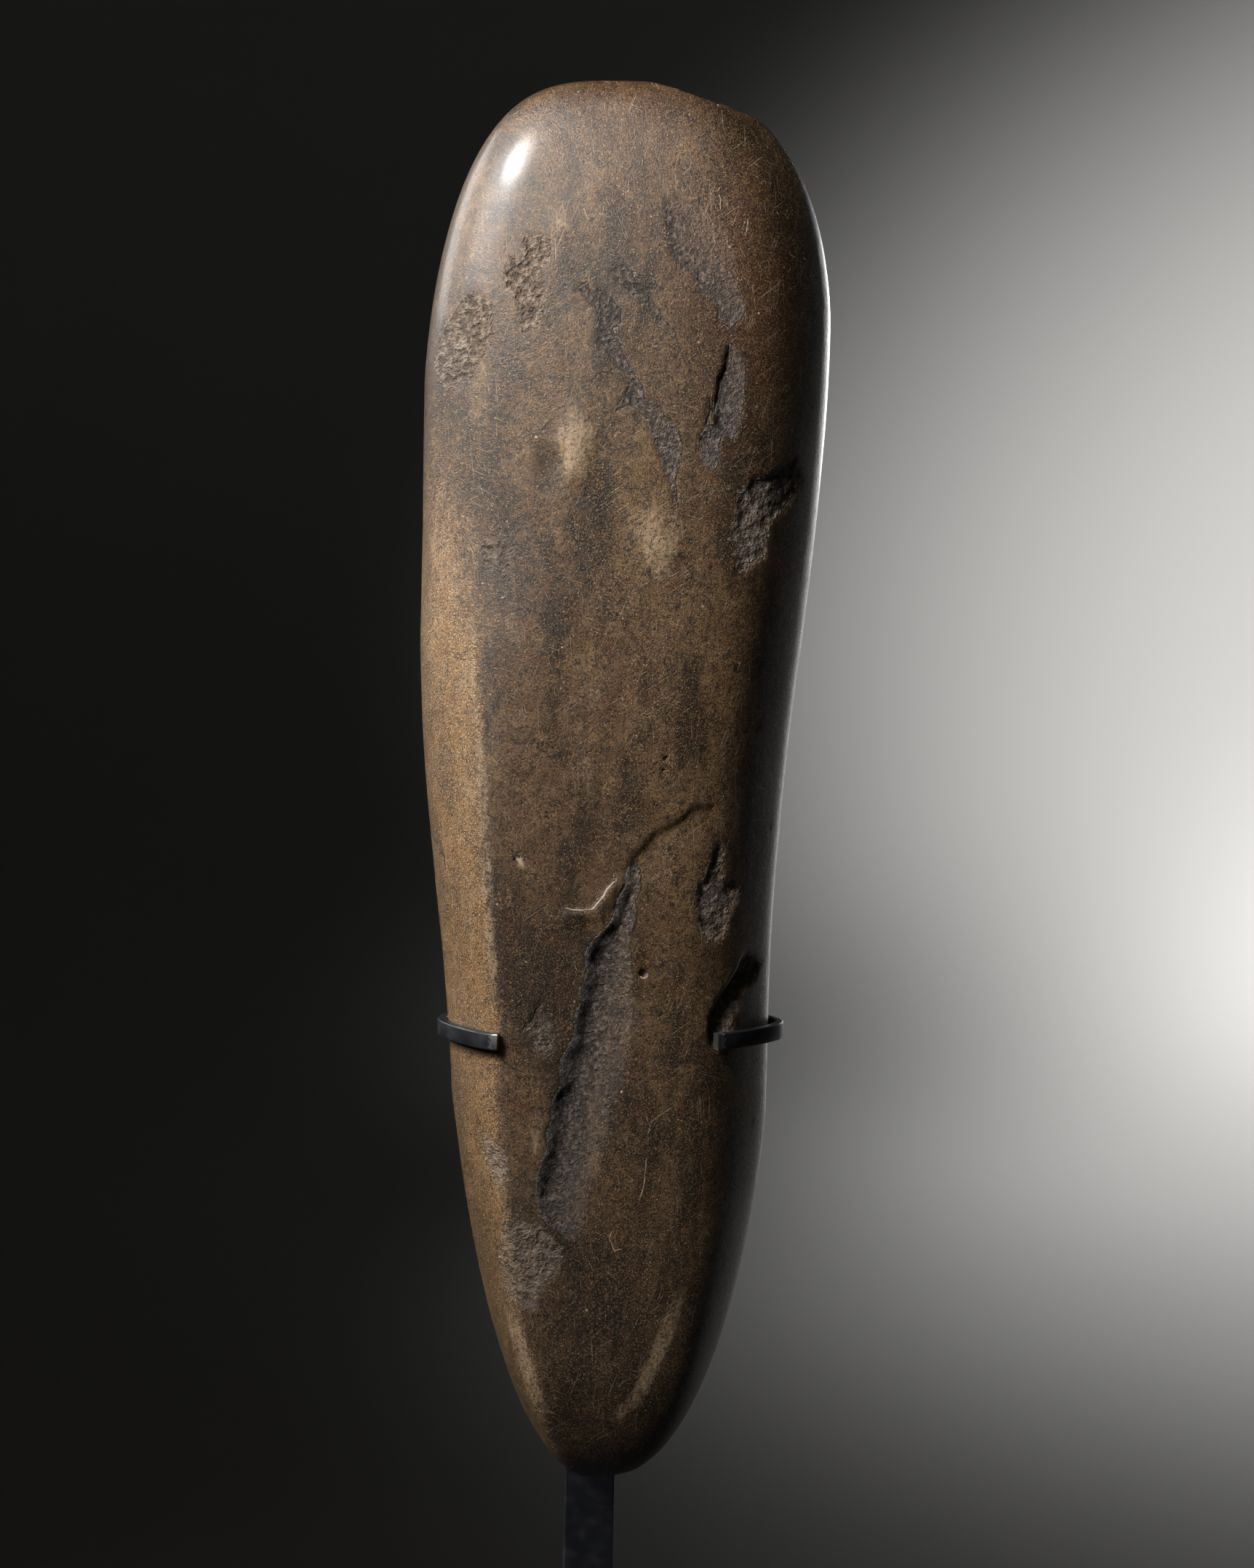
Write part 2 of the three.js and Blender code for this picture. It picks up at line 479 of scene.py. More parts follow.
@dataclass(frozen=True)
class Notch:
    """A struck groove across an edge, steep on its left and sloping on its right.

    Attributes:
        valley: the path of its bottom.
        depth: its depth.
        left: the run of the steep wall.
        right: the run of the slope.
    """

    valley: Points
    depth: float
    left: float
    right: float

    def press(self, face: Face) -> None:
        """Presses the groove into a face, with raw stone on its slope.

        Args:
            face: the face to mark.
        """
        signed, away, share = path_distance(face.x, face.h, self.valley)
        run = np.where(signed > 0, self.left, self.right)
        fade = smooth(share, 0.0, 0.25) * smooth(share, 1.0, 0.75)
        cut = self.depth * fade * np.clip(1.0 - away / run, 0, 1) ** 1.3
        face.drop = np.maximum(face.drop, cut)
        torn = np.where((signed < 0) & (fade > 0.2), run - away - 0.6, -FAR_OFF)
        face.peck = np.maximum(face.peck, torn)
        face.rough = np.where(torn > -1.2, 1.0, face.rough)


@dataclass(frozen=True)
class Crack:
    """A crack or a step that runs along a path.

    Attributes:
        path: its points.
        width: the half width of the open groove, or of the pale line.
        depth: the groove's depth.
        step: how far the stone to the path's right lies lower, fading over reach.
        reach: the distance over which the step fades.
        bright: whether it shows as a pale line in place of a dark one: a worn scratch or chip, and
            on the hooked lip and round a hole's lower edge a painted highlight.
    """

    path: Points
    width: float
    depth: float = 0.0
    step: float = 0.0
    reach: float = 8.0
    bright: bool = False

    def press(self, face: Face) -> None:
        """Presses the groove and the step into a face and draws the line.

        Args:
            face: the face to mark.
        """
        signed, away, share = path_distance(face.x, face.h, self.path)
        taper = smooth(share, -0.02, 0.18) * smooth(share, 1.02, 0.8)
        groove = self.depth * taper * smooth(away, self.width + 0.6, 0.0)
        run = 0.4 if self.width > 0 else 0.8
        step = self.step * smooth(signed, -run, run) * smooth(away, self.reach, 0.0)
        face.drop = face.drop + groove + step * smooth(share, 0, 0.1) * smooth(share, 1, 0.9)
        line = face.lines[self.bright]
        nearer = (np.abs(signed) < np.abs(line[0])) & (self.width > 0) & (away < FAR_OFF)
        line[0] = np.where(nearer, signed, line[0])
        line[1] = np.where(nearer, self.width * taper, line[1])


@dataclass(frozen=True)
class Swell:
    """A low rise, or with a negative height a hollow, in polish worn pale or coloured darker.

    Attributes:
        x: its middle's place across.
        h: its middle's height.
        wide: its half width.
        high: its half height.
        height: how far it rises.
        pale: how pale it is worn, or with a negative value how much darker it is coloured.
    """

    x: float
    h: float
    wide: float
    high: float
    height: float
    pale: float

    def press(self, face: Face) -> None:
        """Raises the swell on a face and colours it.

        Args:
            face: the face to mark.
        """
        away = oval_distance(face.x, face.h, (self.x, self.h), (self.wide, self.high))
        face.drop = face.drop - self.height * smooth(away, 1.0, 0.0)
        if self.pale > 0:
            face.pale = np.maximum(face.pale, self.pale * smooth(away, 1.0, 0.1))
        else:
            face.stain = np.maximum(face.stain, -self.pale * smooth(away, 1.1, 0.3))


# Pale scratches and chips on the front: half width and path. The arc round the lower edge of the
# hole at 6.4 across is a painted highlight.
BRIGHT_LINES = (
    (0.13, ((20.5, 305.5), (20.3, 300.5))),
    (0.09, ((23.4, 306), (23.8, 302.5))),
    (0.13, ((26.7, 299.5), (26.4, 294.5))),
    (0.09, ((29, 285), (28.6, 277))),
    (0.09, ((-2, 262), (3, 258.2))),
    (0.09, ((-16, 254), (-4, 251))),
    (0.09, ((-14, 236), (-12.5, 246))),
    (0.09, ((2, 214), (16, 219))),
    (0.09, ((12.5, 232), (13, 224))),
    (0.14, ((1, 64.5), (0, 61), (1.5, 58.5), (4.5, 59.5))),
    (0.14, ((8.6, 82), (8.2, 74), (6.6, 69))),
    (0.5, ((-24, 151.2), (-23.2, 150.6), (-22.2, 149.2))),
    # painted highlight round the lower edge of the hole
    (0.22, ((5.3, 123.7), (6.3, 122.9), (7.5, 123.4), (7.8, 124.8))),
    (0.07, ((-10, 131), (-9.5, 122), (-9.8, 112))),
    (0.07, ((-24, 158), (-22.5, 152.5))),
    (0.09, ((7, 92), (9, 88), (8.5, 84))),
)
FRONT_MARKS = (
    Flake((  # ribbon down the middle of the upper half
        (-12, 282.5), (-10, 284), (-7, 282.5), (-4.5, 280), (-2, 277.5), (-2.5, 275),
        (-4.5, 273.5), (-2.5, 269.5), (0, 265), (2.5, 261), (3.5, 257.5), (7, 256),
        (11, 251), (12.5, 246), (12, 242), (11, 239), (12, 231), (10.3, 235.5),
        (9.5, 240.5), (7, 245), (5.5, 249.5), (4.5, 253), (2, 255), (-0.5, 255.5),
        (-4, 254), (-1.5, 256.5), (0, 260), (-1, 263), (-5, 267.5), (-7.5, 271.5),
        (-6.5, 275.5), (-8.5, 278)), 0.5, (-2, 261), (15, 268), 0.75, 0.35),
    Flake((  # short scar beside it
        (-4, 286), (-3.5, 287.5), (-1.5, 287.5), (1, 285), (4.5, 284.5), (6.3, 283),
        (4, 281.8), (6, 278.5), (8.5, 274.5), (11.5, 270.5), (8.5, 272), (5.8, 274.3),
        (4.3, 277), (3, 281.5), (1, 281), (-0.5, 283), (-3, 284)),
        0.35, (2, 280), (14, 284), 0.65, 0.3),
    Flake((  # broad shallow scar on the upper right
        (6.5, 301), (8.5, 295), (9.5, 289.5), (12, 287), (14, 286), (15.5, 282),
        (17.5, 281), (20, 279), (21, 275.5), (23.5, 273.5), (25.5, 275.5), (26.5, 279),
        (25.5, 283.5), (24.5, 289.5), (21.5, 295.5), (16.5, 300.5), (11.5, 302.5)),
        0.65, (11, 285), (22, 292), 0.75, 0.12),
    Flake((  # beside the deep crack
        (23, 270.5), (25, 268.5), (26.5, 266), (27.2, 261), (26.7, 256), (26, 251),
        (24.5, 248), (22.5, 250), (21, 249), (20, 252), (20.3, 256), (20.8, 259),
        (21, 262.5), (22.5, 264.5), (23.2, 267)), 0.9, (20.5, 258), (30, 259), 0.8, 0.1),
    Flake((  # lobe under the crack
        (15.5, 248), (17.5, 250.5), (20, 251.5), (21.5, 249), (21.5, 245), (20.5, 241.5),
        (19, 241), (17, 243.5), (15.5, 246)), 0.5, (17, 249), (22, 236), 0.7),
    Flake((  # long scar of the lower half
        (3.2, 151), (1.9, 145.5), (-0.4, 141), (-1, 137.5), (-2.4, 135), (-5, 132.5),
        (-7, 129.5), (-7, 124), (-8, 119.5), (-9.3, 113), (-9.6, 108.5), (-11.8, 104),
        (-12, 99.5), (-14, 94), (-14.2, 89), (-15.2, 85), (-16, 81), (-18, 73.5),
        (-16.5, 66), (-9, 61), (0, 63), (7, 70), (10.5, 82), (10, 94), (7.5, 106),
        (5, 118), (3.6, 128), (4, 136), (5.4, 144), (5.2, 150)),
        2.0, (-9, 112), (6.5, 108.1), 1.0, 0.0, 4.2),
    Pecking((
        (-37.5, 280.5), (-35, 281), (-32, 278.5), (-31, 275.5), (-32, 271.5),
        (-33, 267), (-35.5, 262.5), (-39.5, 258), (-43, 260), (-44, 264.5),
        (-42.5, 271.5), (-41, 274.5), (-38.5, 278)), 0.4),
    Pecking((
        (-24.5, 293), (-21.5, 294), (-18.5, 293), (-18.5, 289.5), (-20.5, 286),
        (-20, 280), (-21, 275), (-23.5, 271.5), (-25.5, 274), (-26, 281),
        (-28, 281.5), (-28.5, 286.5), (-27, 288.5), (-24.5, 288)), 0.55),
    Pecking((
        (26, 237), (29.5, 239.5), (33, 240), (37, 242.5), (40, 244), (40.5, 241),
        (41.5, 237.5), (40.5, 234), (37, 232), (34, 229), (33, 225.5), (33.5, 223),
        (32, 220.5), (27, 218), (24, 225), (25.5, 231.5)), 0.6),
    Pecking((
        (-33, 224.5), (-30.5, 225), (-27.5, 223), (-25.5, 220.5), (-26, 215.5),
        (-29.5, 217.5), (-32, 218)), 0.3, 0.5),
    Pecking((
        (22.5, 153), (24, 155), (25.5, 154.5), (24.8, 149), (25.5, 146.5), (29.5, 145),
        (29.5, 142), (27.5, 139), (26.5, 135), (25.5, 132.5), (23.5, 131.5), (21, 133.5),
        (19, 137), (18.5, 145), (20.5, 148)), 0.8),
    Pecking((
        (-30, 86.5), (-28, 85), (-25, 81.5), (-23.5, 77.5), (-24, 73.5), (-26, 72.5),
        (-27.5, 75.5), (-29, 80)), 0.35, 0.6),
    Pecking((
        (-24.5, 65), (-20.5, 66), (-15.5, 64), (-11.5, 59.5), (-11.5, 55.5), (-13, 52.5),
        (-15.5, 50), (-16.5, 44.5), (-19.5, 44.5), (-23, 47), (-24.5, 52), (-25.5, 57.5)),
        0.45, 0.42),
    Pecking(((-20, 113), (-15, 115), (-13, 110), (-15, 105), (-19, 106)), 0.2, 0.25),
    Notch((
        (33.5, 129), (30.5, 123.5), (27, 118.5), (24.6, 114), (23.6, 109.5), (23.6, 104)),
        2.4, 2.1, 4.6),
    Crack((  # the deep crack
        (23, 270.3), (23.1, 267), (22.5, 264.5), (21, 262.5), (20.5, 259), (20, 256),
        (19.5, 254)), 0.42, 0.8),
    Crack(((18, 258.5), (18.5, 255.5), (18, 252.5), (17.4, 250.3)), 0.2, 0.3),
    Crack((  # edge of the lower scar, lifted
        (-11.8, 104), (-12, 99.5), (-14, 94), (-14.2, 89), (-15.2, 85), (-16.2, 80.5),
        (-18, 74)), 0.1, 0.15),
    Crack(((1.9, 146.5), (-0.3, 141.3), (-1.2, 137.5)), 0.2, 0.3),
    # The hooked lip's bright line is a painted highlight on its lit edge; the step beside it is
    # relief.
    Crack((  # the bright hooked lip
        (-13, 140), (-10.5, 139.4), (-8, 139.3), (-5.5, 140.1), (-3.6, 141.6), (-2.1, 143.6),
        (-0.7, 145.8), (0.8, 147.8)), 0.18, 0.0, -0.55, 5.0, True),
    Crack((  # the soft ledge that runs up to the right
        (1.2, 148.5), (3.4, 151), (5.5, 154), (10, 158.2), (13.5, 160), (18, 163),
        (24, 164.2)), 0.0, 0.0, 0.65, 12.0),
    Crack(((-44, 197), (-38, 196.6), (-30, 197.3)), 0.08, 0.06),
    Crack(((-14, 168.2), (-9, 167.6), (-3, 168.6)), 0.08, 0.06),
    Crack(((-43, 158), (-42, 153), (-39.5, 148.5), (-38.7, 144)), 0.12, 0.15),
    Crack(((-16.5, 118), (-19.5, 113.5), (-21.5, 110)), 0.14, 0.3),
    *(Crack(path, width, bright=True) for width, path in BRIGHT_LINES),
    Swell(-12, 247, 6.5, 14, 0.55, 0.8),
    Swell(8, 224.5, 8, 14, 0.5, 0.65),
    Swell(-15.6, 296.5, 5, 5, 0.2, 0.4),
    Swell(-6, 190, 8, 11, 0.2, 0.3),
    Swell(-7.5, 172, 5, 12, 0.2, 0.3),
    Swell(-22.5, 149.6, 1.9, 1.5, 0.3, 1.0),
    Swell(-17, 84, 3, 9, 0.25, 0.45),
    Swell(-17.5, 241, 5, 9, -0.3, -0.75),
    Swell(3, 266, 9, 17, -0.1, -0.35),
    Swell(19, 272, 10, 22, -0.1, -0.4),
    Swell(-17, 119, 6, 6, 0.1, -0.5),
)
BACK_MARKS = (
    Flake((  # long shallow scar high on the back
        (8.5, 239), (11, 243), (14.5, 241.5), (18, 244), (22, 240), (25.5, 235), (27, 227),
        (28.5, 220), (26, 212), (25.5, 205), (21, 200), (18.5, 194), (14, 197), (12.5, 203),
        (9, 206), (9.5, 214), (6, 219), (7, 228), (5.5, 233)),
        0.9, (7, 220), (19, 222), 0.7, 0.0, 2.2),
    Flake((  # long scar low on the back
        (-24.5, 113), (-21, 117), (-17, 114.5), (-12.5, 112), (-11.5, 106), (-8, 101),
        (-9.5, 94), (-9, 88), (-13.5, 84), (-16, 78), (-20, 82), (-21.5, 90), (-24, 98),
        (-23, 106)), 0.8, (-10, 98), (-20, 100), 0.7, 0.0, 2.0),
    Flake((  # small scar under the crown
        (-4, 301), (-1, 304.5), (5, 303), (9, 301), (13.5, 298), (13, 292), (15, 288),
        (9, 285.5), (4, 287.5), (0, 285), (-2, 291), (-5.5, 295)),
        0.5, (2, 287), (9, 298), 0.6, 0.0),
    Pecking((
        (-29, 263), (-26, 266.5), (-22.5, 265), (-20, 268), (-17, 262), (-14, 258.5), (-16, 252),
        (-15, 247), (-20, 243), (-23.5, 246), (-27, 244), (-28, 251), (-31, 256)), 0.45, 0.55),
    Pecking((
        (24, 143), (27, 147), (29.5, 143.5), (31, 138), (33, 133), (30.5, 128), (29.5, 123),
        (26, 120), (24.5, 125), (21.5, 129), (23.5, 135)), 0.45, 0.55),
    Pecking((
        (-13.5, 186), (-9, 188), (-6, 190.5), (-3.5, 185), (-2.5, 180), (-6, 177), (-7, 173),
        (-12, 175.5), (-12, 181)), 0.3, 0.4),
    Pecking((
        (2, 62), (5.5, 63.5), (9, 66.5), (11.5, 61), (14, 57), (11, 52), (9.5, 46.5), (5, 49),
        (3, 47), (3.5, 55)), 0.35, 0.45),
    Crack(((-18, 224), (-12, 221), (-7, 214), (-6, 206)), 0.15, 0.4),
    Crack(((14, 158), (6, 152), (1, 143), (-6, 139)), 0.2, 0.5, 0.4, 9.0),
    Swell(10, 256, 9, 13, 0.4, 0.7),
    Swell(-12, 208, 8, 12, 0.4, 0.6),
    Swell(6, 110, 8, 14, 0.3, 0.5),
)
MARKS = {Side.FRONT: FRONT_MARKS, Side.BACK: BACK_MARKS}
# Small round holes: place across, height and radius.
HOLES = ((6.4, 124.5, 0.95), (10.5, 174.8, 0.6), (10.2, 172, 0.5), (-24, 151, 0.5))
# Ridges of the front face worn pale by handling: reach, share of pale and path.
WORN_RIMS = (
    (3.4, 0.65, ((18.5, 54.5), (15.7, 43), (11, 31), (6.5, 22), (3.5, 19), (-1, 18), (-5, 20))),
    (3.4, 0.6, ((-24.5, 48.5), (-20, 35.5), (-15.5, 21.5), (-11, 14))),
    (2.6, 0.5, ((-35, 205), (-33.2, 186), (-31.6, 168), (-30.4, 148), (-28.8, 128), (-27, 104))),
)


# ------------------------------------------------------------------ the blade


@dataclass(frozen=True)
class End:
    """How a profile closes: over this length, squarer for a larger full or blunt."""

    length: float
    full: float
    blunt: float

    def open(self, distance: Array) -> Array:
        """How far the end is open at a distance from it, from 0 to 1."""
        t = np.clip(1.0 - distance / self.length, 0.0, 1.0)
        return (1.0 - t**self.full) ** (1.0 / self.blunt)


@dataclass(frozen=True)
class Profile:
    """A half width or half thickness that runs from a waist to a belly."""

    waist: float
    waist_at: float
    belly: float
    belly_at: float
    tip: End
    crown: End

    def at(self, h: Array, length: float) -> Array:
        """The value at heights above the tip, in millimetres."""
        body = self.waist + (self.belly - self.waist) * smooth(h, self.waist_at, self.belly_at)
        return body * self.tip.open(h) * self.crown.open(length - h)


@dataclass
class Blade:
    """The stone: its form, its marks and its mesh.

    Attributes:
        columns_front: mesh columns over the front face and the edges' front halves.
        columns_back: mesh columns over the back.
        rows: mesh rows from tip to crown.
        section_at: the height of the section that the columns are spaced along.
        left: the half width left of the middle.
        right: the half width right of the middle.
        front: the half thickness in front of the middle.
        back: the half thickness behind it.
        crispness: how sharp the section's left and right corners are at tip, waist, belly.
        corners: for each quarter of the section, the corners of its ground bevels at the
            tip, waist and belly, as shares of the half width and the half thickness.
        breaks: the flat breaks at the crown's right shoulder and right of the tip, each by
            its place across, whether it starts at the crown, and the way it faces in
            degrees above the right.
        wander: how far the broken edges of marks stray, as size, cell and seed.
        break_unevenness: how uneven the breaks are, as size, cell and seed.
        hole_depth: how deep the small round holes are.
        smudge: a dark smudge left of the long scar, by its middle and half sizes.
        red_shoulder: the red zone of the right shoulder, by its middle and half sizes.
        red_crown: the red zone of the crown, by its middle and half sizes.
        tan_rise: the heights at which the left flank's tan is gone and full.
        rim_rise: the heights at which the painted shade on the edges is gone and full.
        right_rise: the heights at which the painted shade on the right side is gone and full.
        tip_fall: the heights at which the tip's dark is gone and full.
        relief: the sizes of the scars' and peckings' lumps and of the pits.
        seed: picks the lumps' and pits' places.
    """

    columns_front: int = 180
    columns_back: int = 70
    rows: int = 398
    section_at: float = 180.0
    left: Profile = Profile(36.4, 81, 45.8, 202, End(93, 1.2, 2.3), End(74, 1.77, 3.4))
    right: Profile = Profile(38.3, 121, 48.7, 273, End(90, 1.42, 2.48), End(61, 2.2, 2.86))
    front: Profile = Profile(20.5, 70, 23.0, 230, End(30, 1.6, 2.6), End(95, 2.2, 2.6))
    back: Profile = Profile(20.5, 70, 23.0, 230, End(34, 1.6, 2.6), End(95, 2.2, 2.6))
    crispness: dict = field(default_factory=lambda: {-1: (12, 14, 4.2), 1: (13, 13, 12)})
    corners: dict = field(default_factory=lambda: {
        (-1, -1): (((0.78, 1), (1, 0.16)), ((0.72, 1), (1, 0.16)), ((0.62, 1), (1, 0.2))),
        (1, -1): (((0.42, 1), (0.7, 0.86), (1, 0.12)), ((0.38, 1), (0.62, 0.87), (1, 0.08)),
                  ((0.32, 1), (0.62, 0.87), (1, 0.1))),
        (-1, 1): (((0.6, 1), (1, 0.16)), ((0.62, 1), (1, 0.16)), ((0.64, 1), (1, 0.16))),
        (1, 1): (((0.6, 1), (1, 0.16)), ((0.62, 1), (1, 0.16)), ((0.64, 1), (1, 0.16))),
    })
    breaks: tuple = ((4.7, True, 73), (0.0, False, -72))
    wander: tuple = ((0.7, 3.4, 11), (0.3, 1.4, 31))
    break_unevenness: tuple = (0.25, 3.0, 71)
    hole_depth: float = 0.6
    smudge: tuple[Pair, Pair] = ((-17, 108), (7, 11))
    red_shoulder: tuple[Pair, Pair] = ((27, 282), (26, 40))
    red_crown: tuple[Pair, Pair] = ((0, 325), (40, 22))
    tan_rise: Pair = (262, 190)
    rim_rise: Pair = (215, 265)
    right_rise: Pair = (200, 280)
    tip_fall: Pair = (90, 15)
    relief: dict = field(default_factory=lambda: {
        "Peck Size": 1.9 * MM, "Peck Depth": 1.3 * MM, "Scar Size": 2.2 * MM,
        "Scar Depth": 1.3 * MM, "Pit Density": 2600.0, "Pit Radius": 1.1 * MM,
        "Pit Depth": 0.16 * MM})
    seed: int = 4

    def __post_init__(self) -> None:
        """Takes the blade's length and its tip's height from the frame."""
        low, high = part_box("stone")
        self.length = (high.z - low.z) / MM
        self.tip_height = low.z / MM

    @staticmethod
    def along(values: tuple, h: Array) -> Array:
        """A value given at the tip, the waist and the belly, at heights between them."""
        tip, waist, belly = values
        return tip + (waist - tip) * smooth(h, 10, 100) + (belly - waist) * smooth(h, 140, 230)

    def radius(self, h: Array, dx: Array, dy: Array, size: tuple) -> Array:
        """Distance from the section's middle to its outline in a direction.

        Args:
            h: heights above the tip.
            dx: the unit direction's part across.
            dy: the unit direction's part from front to back.
            size: half width, front half thickness and back half thickness at h.

        Returns:
            Distances in millimetres, before they are fitted to the true widths.
        """
        width, front, back = size
        share = smooth(dx, -0.9, 0.9)
        left, right = (self.along(self.crispness[k], h) for k in (-1, 1))
        power = left + (right - left) * share
        sides = [(1, 0, width), (-1, 0, width), (0, -1, front), (0, 1, back)]
        for (sx, sy), stations in self.corners.items():
            thickness = front if sy < 0 else back
            outline = [(self.along(px, h) * width, self.along(py, h) * thickness)
                       for px, py in (zip(*corner) for corner in zip(*stations))]
            for (ax, ay), (bx, by) in zip(outline, outline[1:]):
                nx, ny = ay - by, bx - ax
                scale = np.hypot(nx, ny)
                sides.append((sx * nx / scale, sy * ny / scale, (nx * ax + ny * ay) / scale))
        total = sum(np.clip((nx * dx + ny * dy) / away, 0, None) ** power
                    for nx, ny, away in sides)
        return total ** (-1.0 / power)

    def surface(self, h: Array, angle: Array) -> Array:
        """Points of the plain ground form, before any mark.

        Args:
            h: heights above the tip, strictly between tip and crown.
            angle: angles round an ellipse half as thick as wide, from +X towards +Y.

        Returns:
            The points, with x, y, h in the last axis, in millimetres.
        """
        h, angle = np.broadcast_arrays(h, angle)
        left, right, front, back = (side.at(h, self.length) for side in (
            self.left, self.right, self.front, self.back))
        size = ((left + right) / 2, front, back)
        dx, dy = np.cos(angle), 0.5 * np.sin(angle)
        scale = np.hypot(dx, dy)
        dx, dy = dx / scale, dy / scale
        one, none = np.ones_like(dx), np.zeros_like(dx)
        radius = self.radius(h, dx, dy, size)
        full_x = self.radius(h, np.where(dx < 0, -one, one), none, size)
        full_y = self.radius(h, none, np.where(dy < 0, -one, one), size)
        x = radius * dx * size[0] / full_x + (right - left) / 2
        y = radius * dy * np.where(dy > 0, back, front) / full_y
        return np.stack([x, y, h], axis=-1)

    def heights(self) -> Array:
        """Spaces the mesh rows evenly along the outline.

        Returns:
            Row heights from the tip to the crown.
        """
        steps = 6000
        h = self.length * (1.0 - np.cos(np.linspace(0, math.pi, steps + 1)[1:-1])) / 2
        half = (self.left.at(h, self.length) + self.right.at(h, self.length)) / 2
        run = np.concatenate([[0], np.cumsum(np.hypot(np.diff(h), np.diff(half)))])
        return np.interp(np.linspace(0, run[-1], self.rows), run, h)

    def angles(self) -> Array:
        """Spaces the mesh columns evenly along a middle section, denser over the front.

        Returns:
            Column angles, once round.
        """
        steps = 4000
        fine = np.linspace(0, 2 * math.pi, steps + 1)
        section = self.surface(np.array(self.section_at), fine)
        run = np.concatenate([[0], np.cumsum(np.linalg.norm(np.diff(section, axis=0), axis=1))])
        middle = run[steps // 2]
        back = np.linspace(0, middle, self.columns_back, endpoint=False)
        front = np.linspace(middle, run[-1], self.columns_front, endpoint=False)
        return np.interp(np.concatenate([back, front]), run, fine)

    @staticmethod
    def normals(grid: Array) -> Array:
        """Finds the directions that a closed grid's points face.

        Args:
            grid: points, rows by columns by 3, where the last column meets the first.

        Returns:
            Outward unit normals of the same shape.
        """
        around = np.roll(grid, -1, axis=1) - np.roll(grid, 1, axis=1)
        up = np.gradient(grid, axis=0)
        cross = np.cross(around, up)
        return cross / np.maximum(np.linalg.norm(cross, axis=-1, keepdims=True), 1e-9)

    def break_off(self, grid: Array) -> Array:
        """Cuts the flat breaks.

        Args:
            grid: points, rows by columns by 3, in millimetres.

        Returns:
            The points, with those past a break moved back to it.
        """
        for x, at_crown, degrees in self.breaks:
            tilt = math.radians(degrees)
            normal = np.array([math.cos(tilt), 0.0, math.sin(tilt)])
            past = (grid - np.array([x, 0.0, self.length if at_crown else 0.0])) @ normal
            size, cell, seed = self.break_unevenness
            uneven = noise(grid.reshape(-1, 3), cell, seed).reshape(past.shape)
            past += size * uneven * (past > -1)
            soft = np.where(past > 0, past, 0.0)
            grid = grid - soft[..., None] * normal
        return grid

    @staticmethod
    def worn_rims(points: Array) -> Array:
        """Finds how pale handling has worn the front face's ridges.

        Args:
            points: places in millimetres.

        Returns:
            The wear at each point, from 0 to 1.
        """
        pale = np.zeros(len(points))
        for reach, strength, path in WORN_RIMS:
            _, away, share = path_distance(points[:, 0], points[:, 2], path)
            worn = smooth(away, reach, 0.3) * smooth(share, 0, 0.3) * smooth(share, 1, 0.7)
            pale = np.maximum(pale, strength * worn)
        return pale

    def zones(self, points: Array, normal: Array) -> tuple[Array, Array, Array]:
        """The broad zones of the stone's colour.

        Args:
            points: places in millimetres.
            normal: the directions that they face.

        Returns:
            How tan, how red and how dark the stone is at each point, from 0 to 1; the dark is
            painted shade on the edges and the right side, and the stone is also darker towards the
            tip.
        """
        x, h = points[:, 0], points[:, 2]
        to_right, to_back = normal[:, 0], normal[:, 1]
        broad = 0.12 * noise(points, 12.0, 51) + 0.08 * noise(points, 4.0, 52)
        tan = smooth(-to_right + 1.6 * broad, 0.18, 0.72) * smooth(h, *self.tan_rise)
        tan = np.maximum(tan, 0.35 * smooth(to_right, 0.5, 0.9))
        red = smooth(oval_distance(x, h, *self.red_shoulder) + broad, 1.0, 0.2)
        crown = smooth(oval_distance(x, h, *self.red_crown) + broad, 1, 0.2)
        red = np.maximum(red, 0.6 * crown)
        # Painted shade: the upper edges and the left edge, where the polish's sheen falls away,
        # and the right side, turned from the lights, are darkened in the colour. The stone is also
        # made darker towards the tip.
        painted_rim_shade = smooth(1.0 - np.abs(to_back) + broad, 0.5, 0.85) * smooth(h, *self.rim_rise)
        left = smooth(-to_right + broad, 0.82, 1.0)
        right = smooth(to_right + broad, 0.1, 0.6) * smooth(h, *self.right_rise)
        low = smooth(h + 60 * broad, *self.tip_fall)
        dark = np.maximum(0.85 * painted_rim_shade, 0.65 * left)
        return tan, red, np.maximum(dark, 0.7 * np.maximum(right, low) * (to_back < 0.3))

    def carve(self, grid: Array) -> tuple[Array, dict[str, Array]]:
        """Presses every mark into the plain form.

        Args:
            grid: points, rows by columns by 3, in millimetres.

        Returns:
            The carved points, and the fields that the finish reads, by attribute name.
        """
        normal = self.normals(grid).reshape(-1, 3)
        points = grid.reshape(-1, 3)
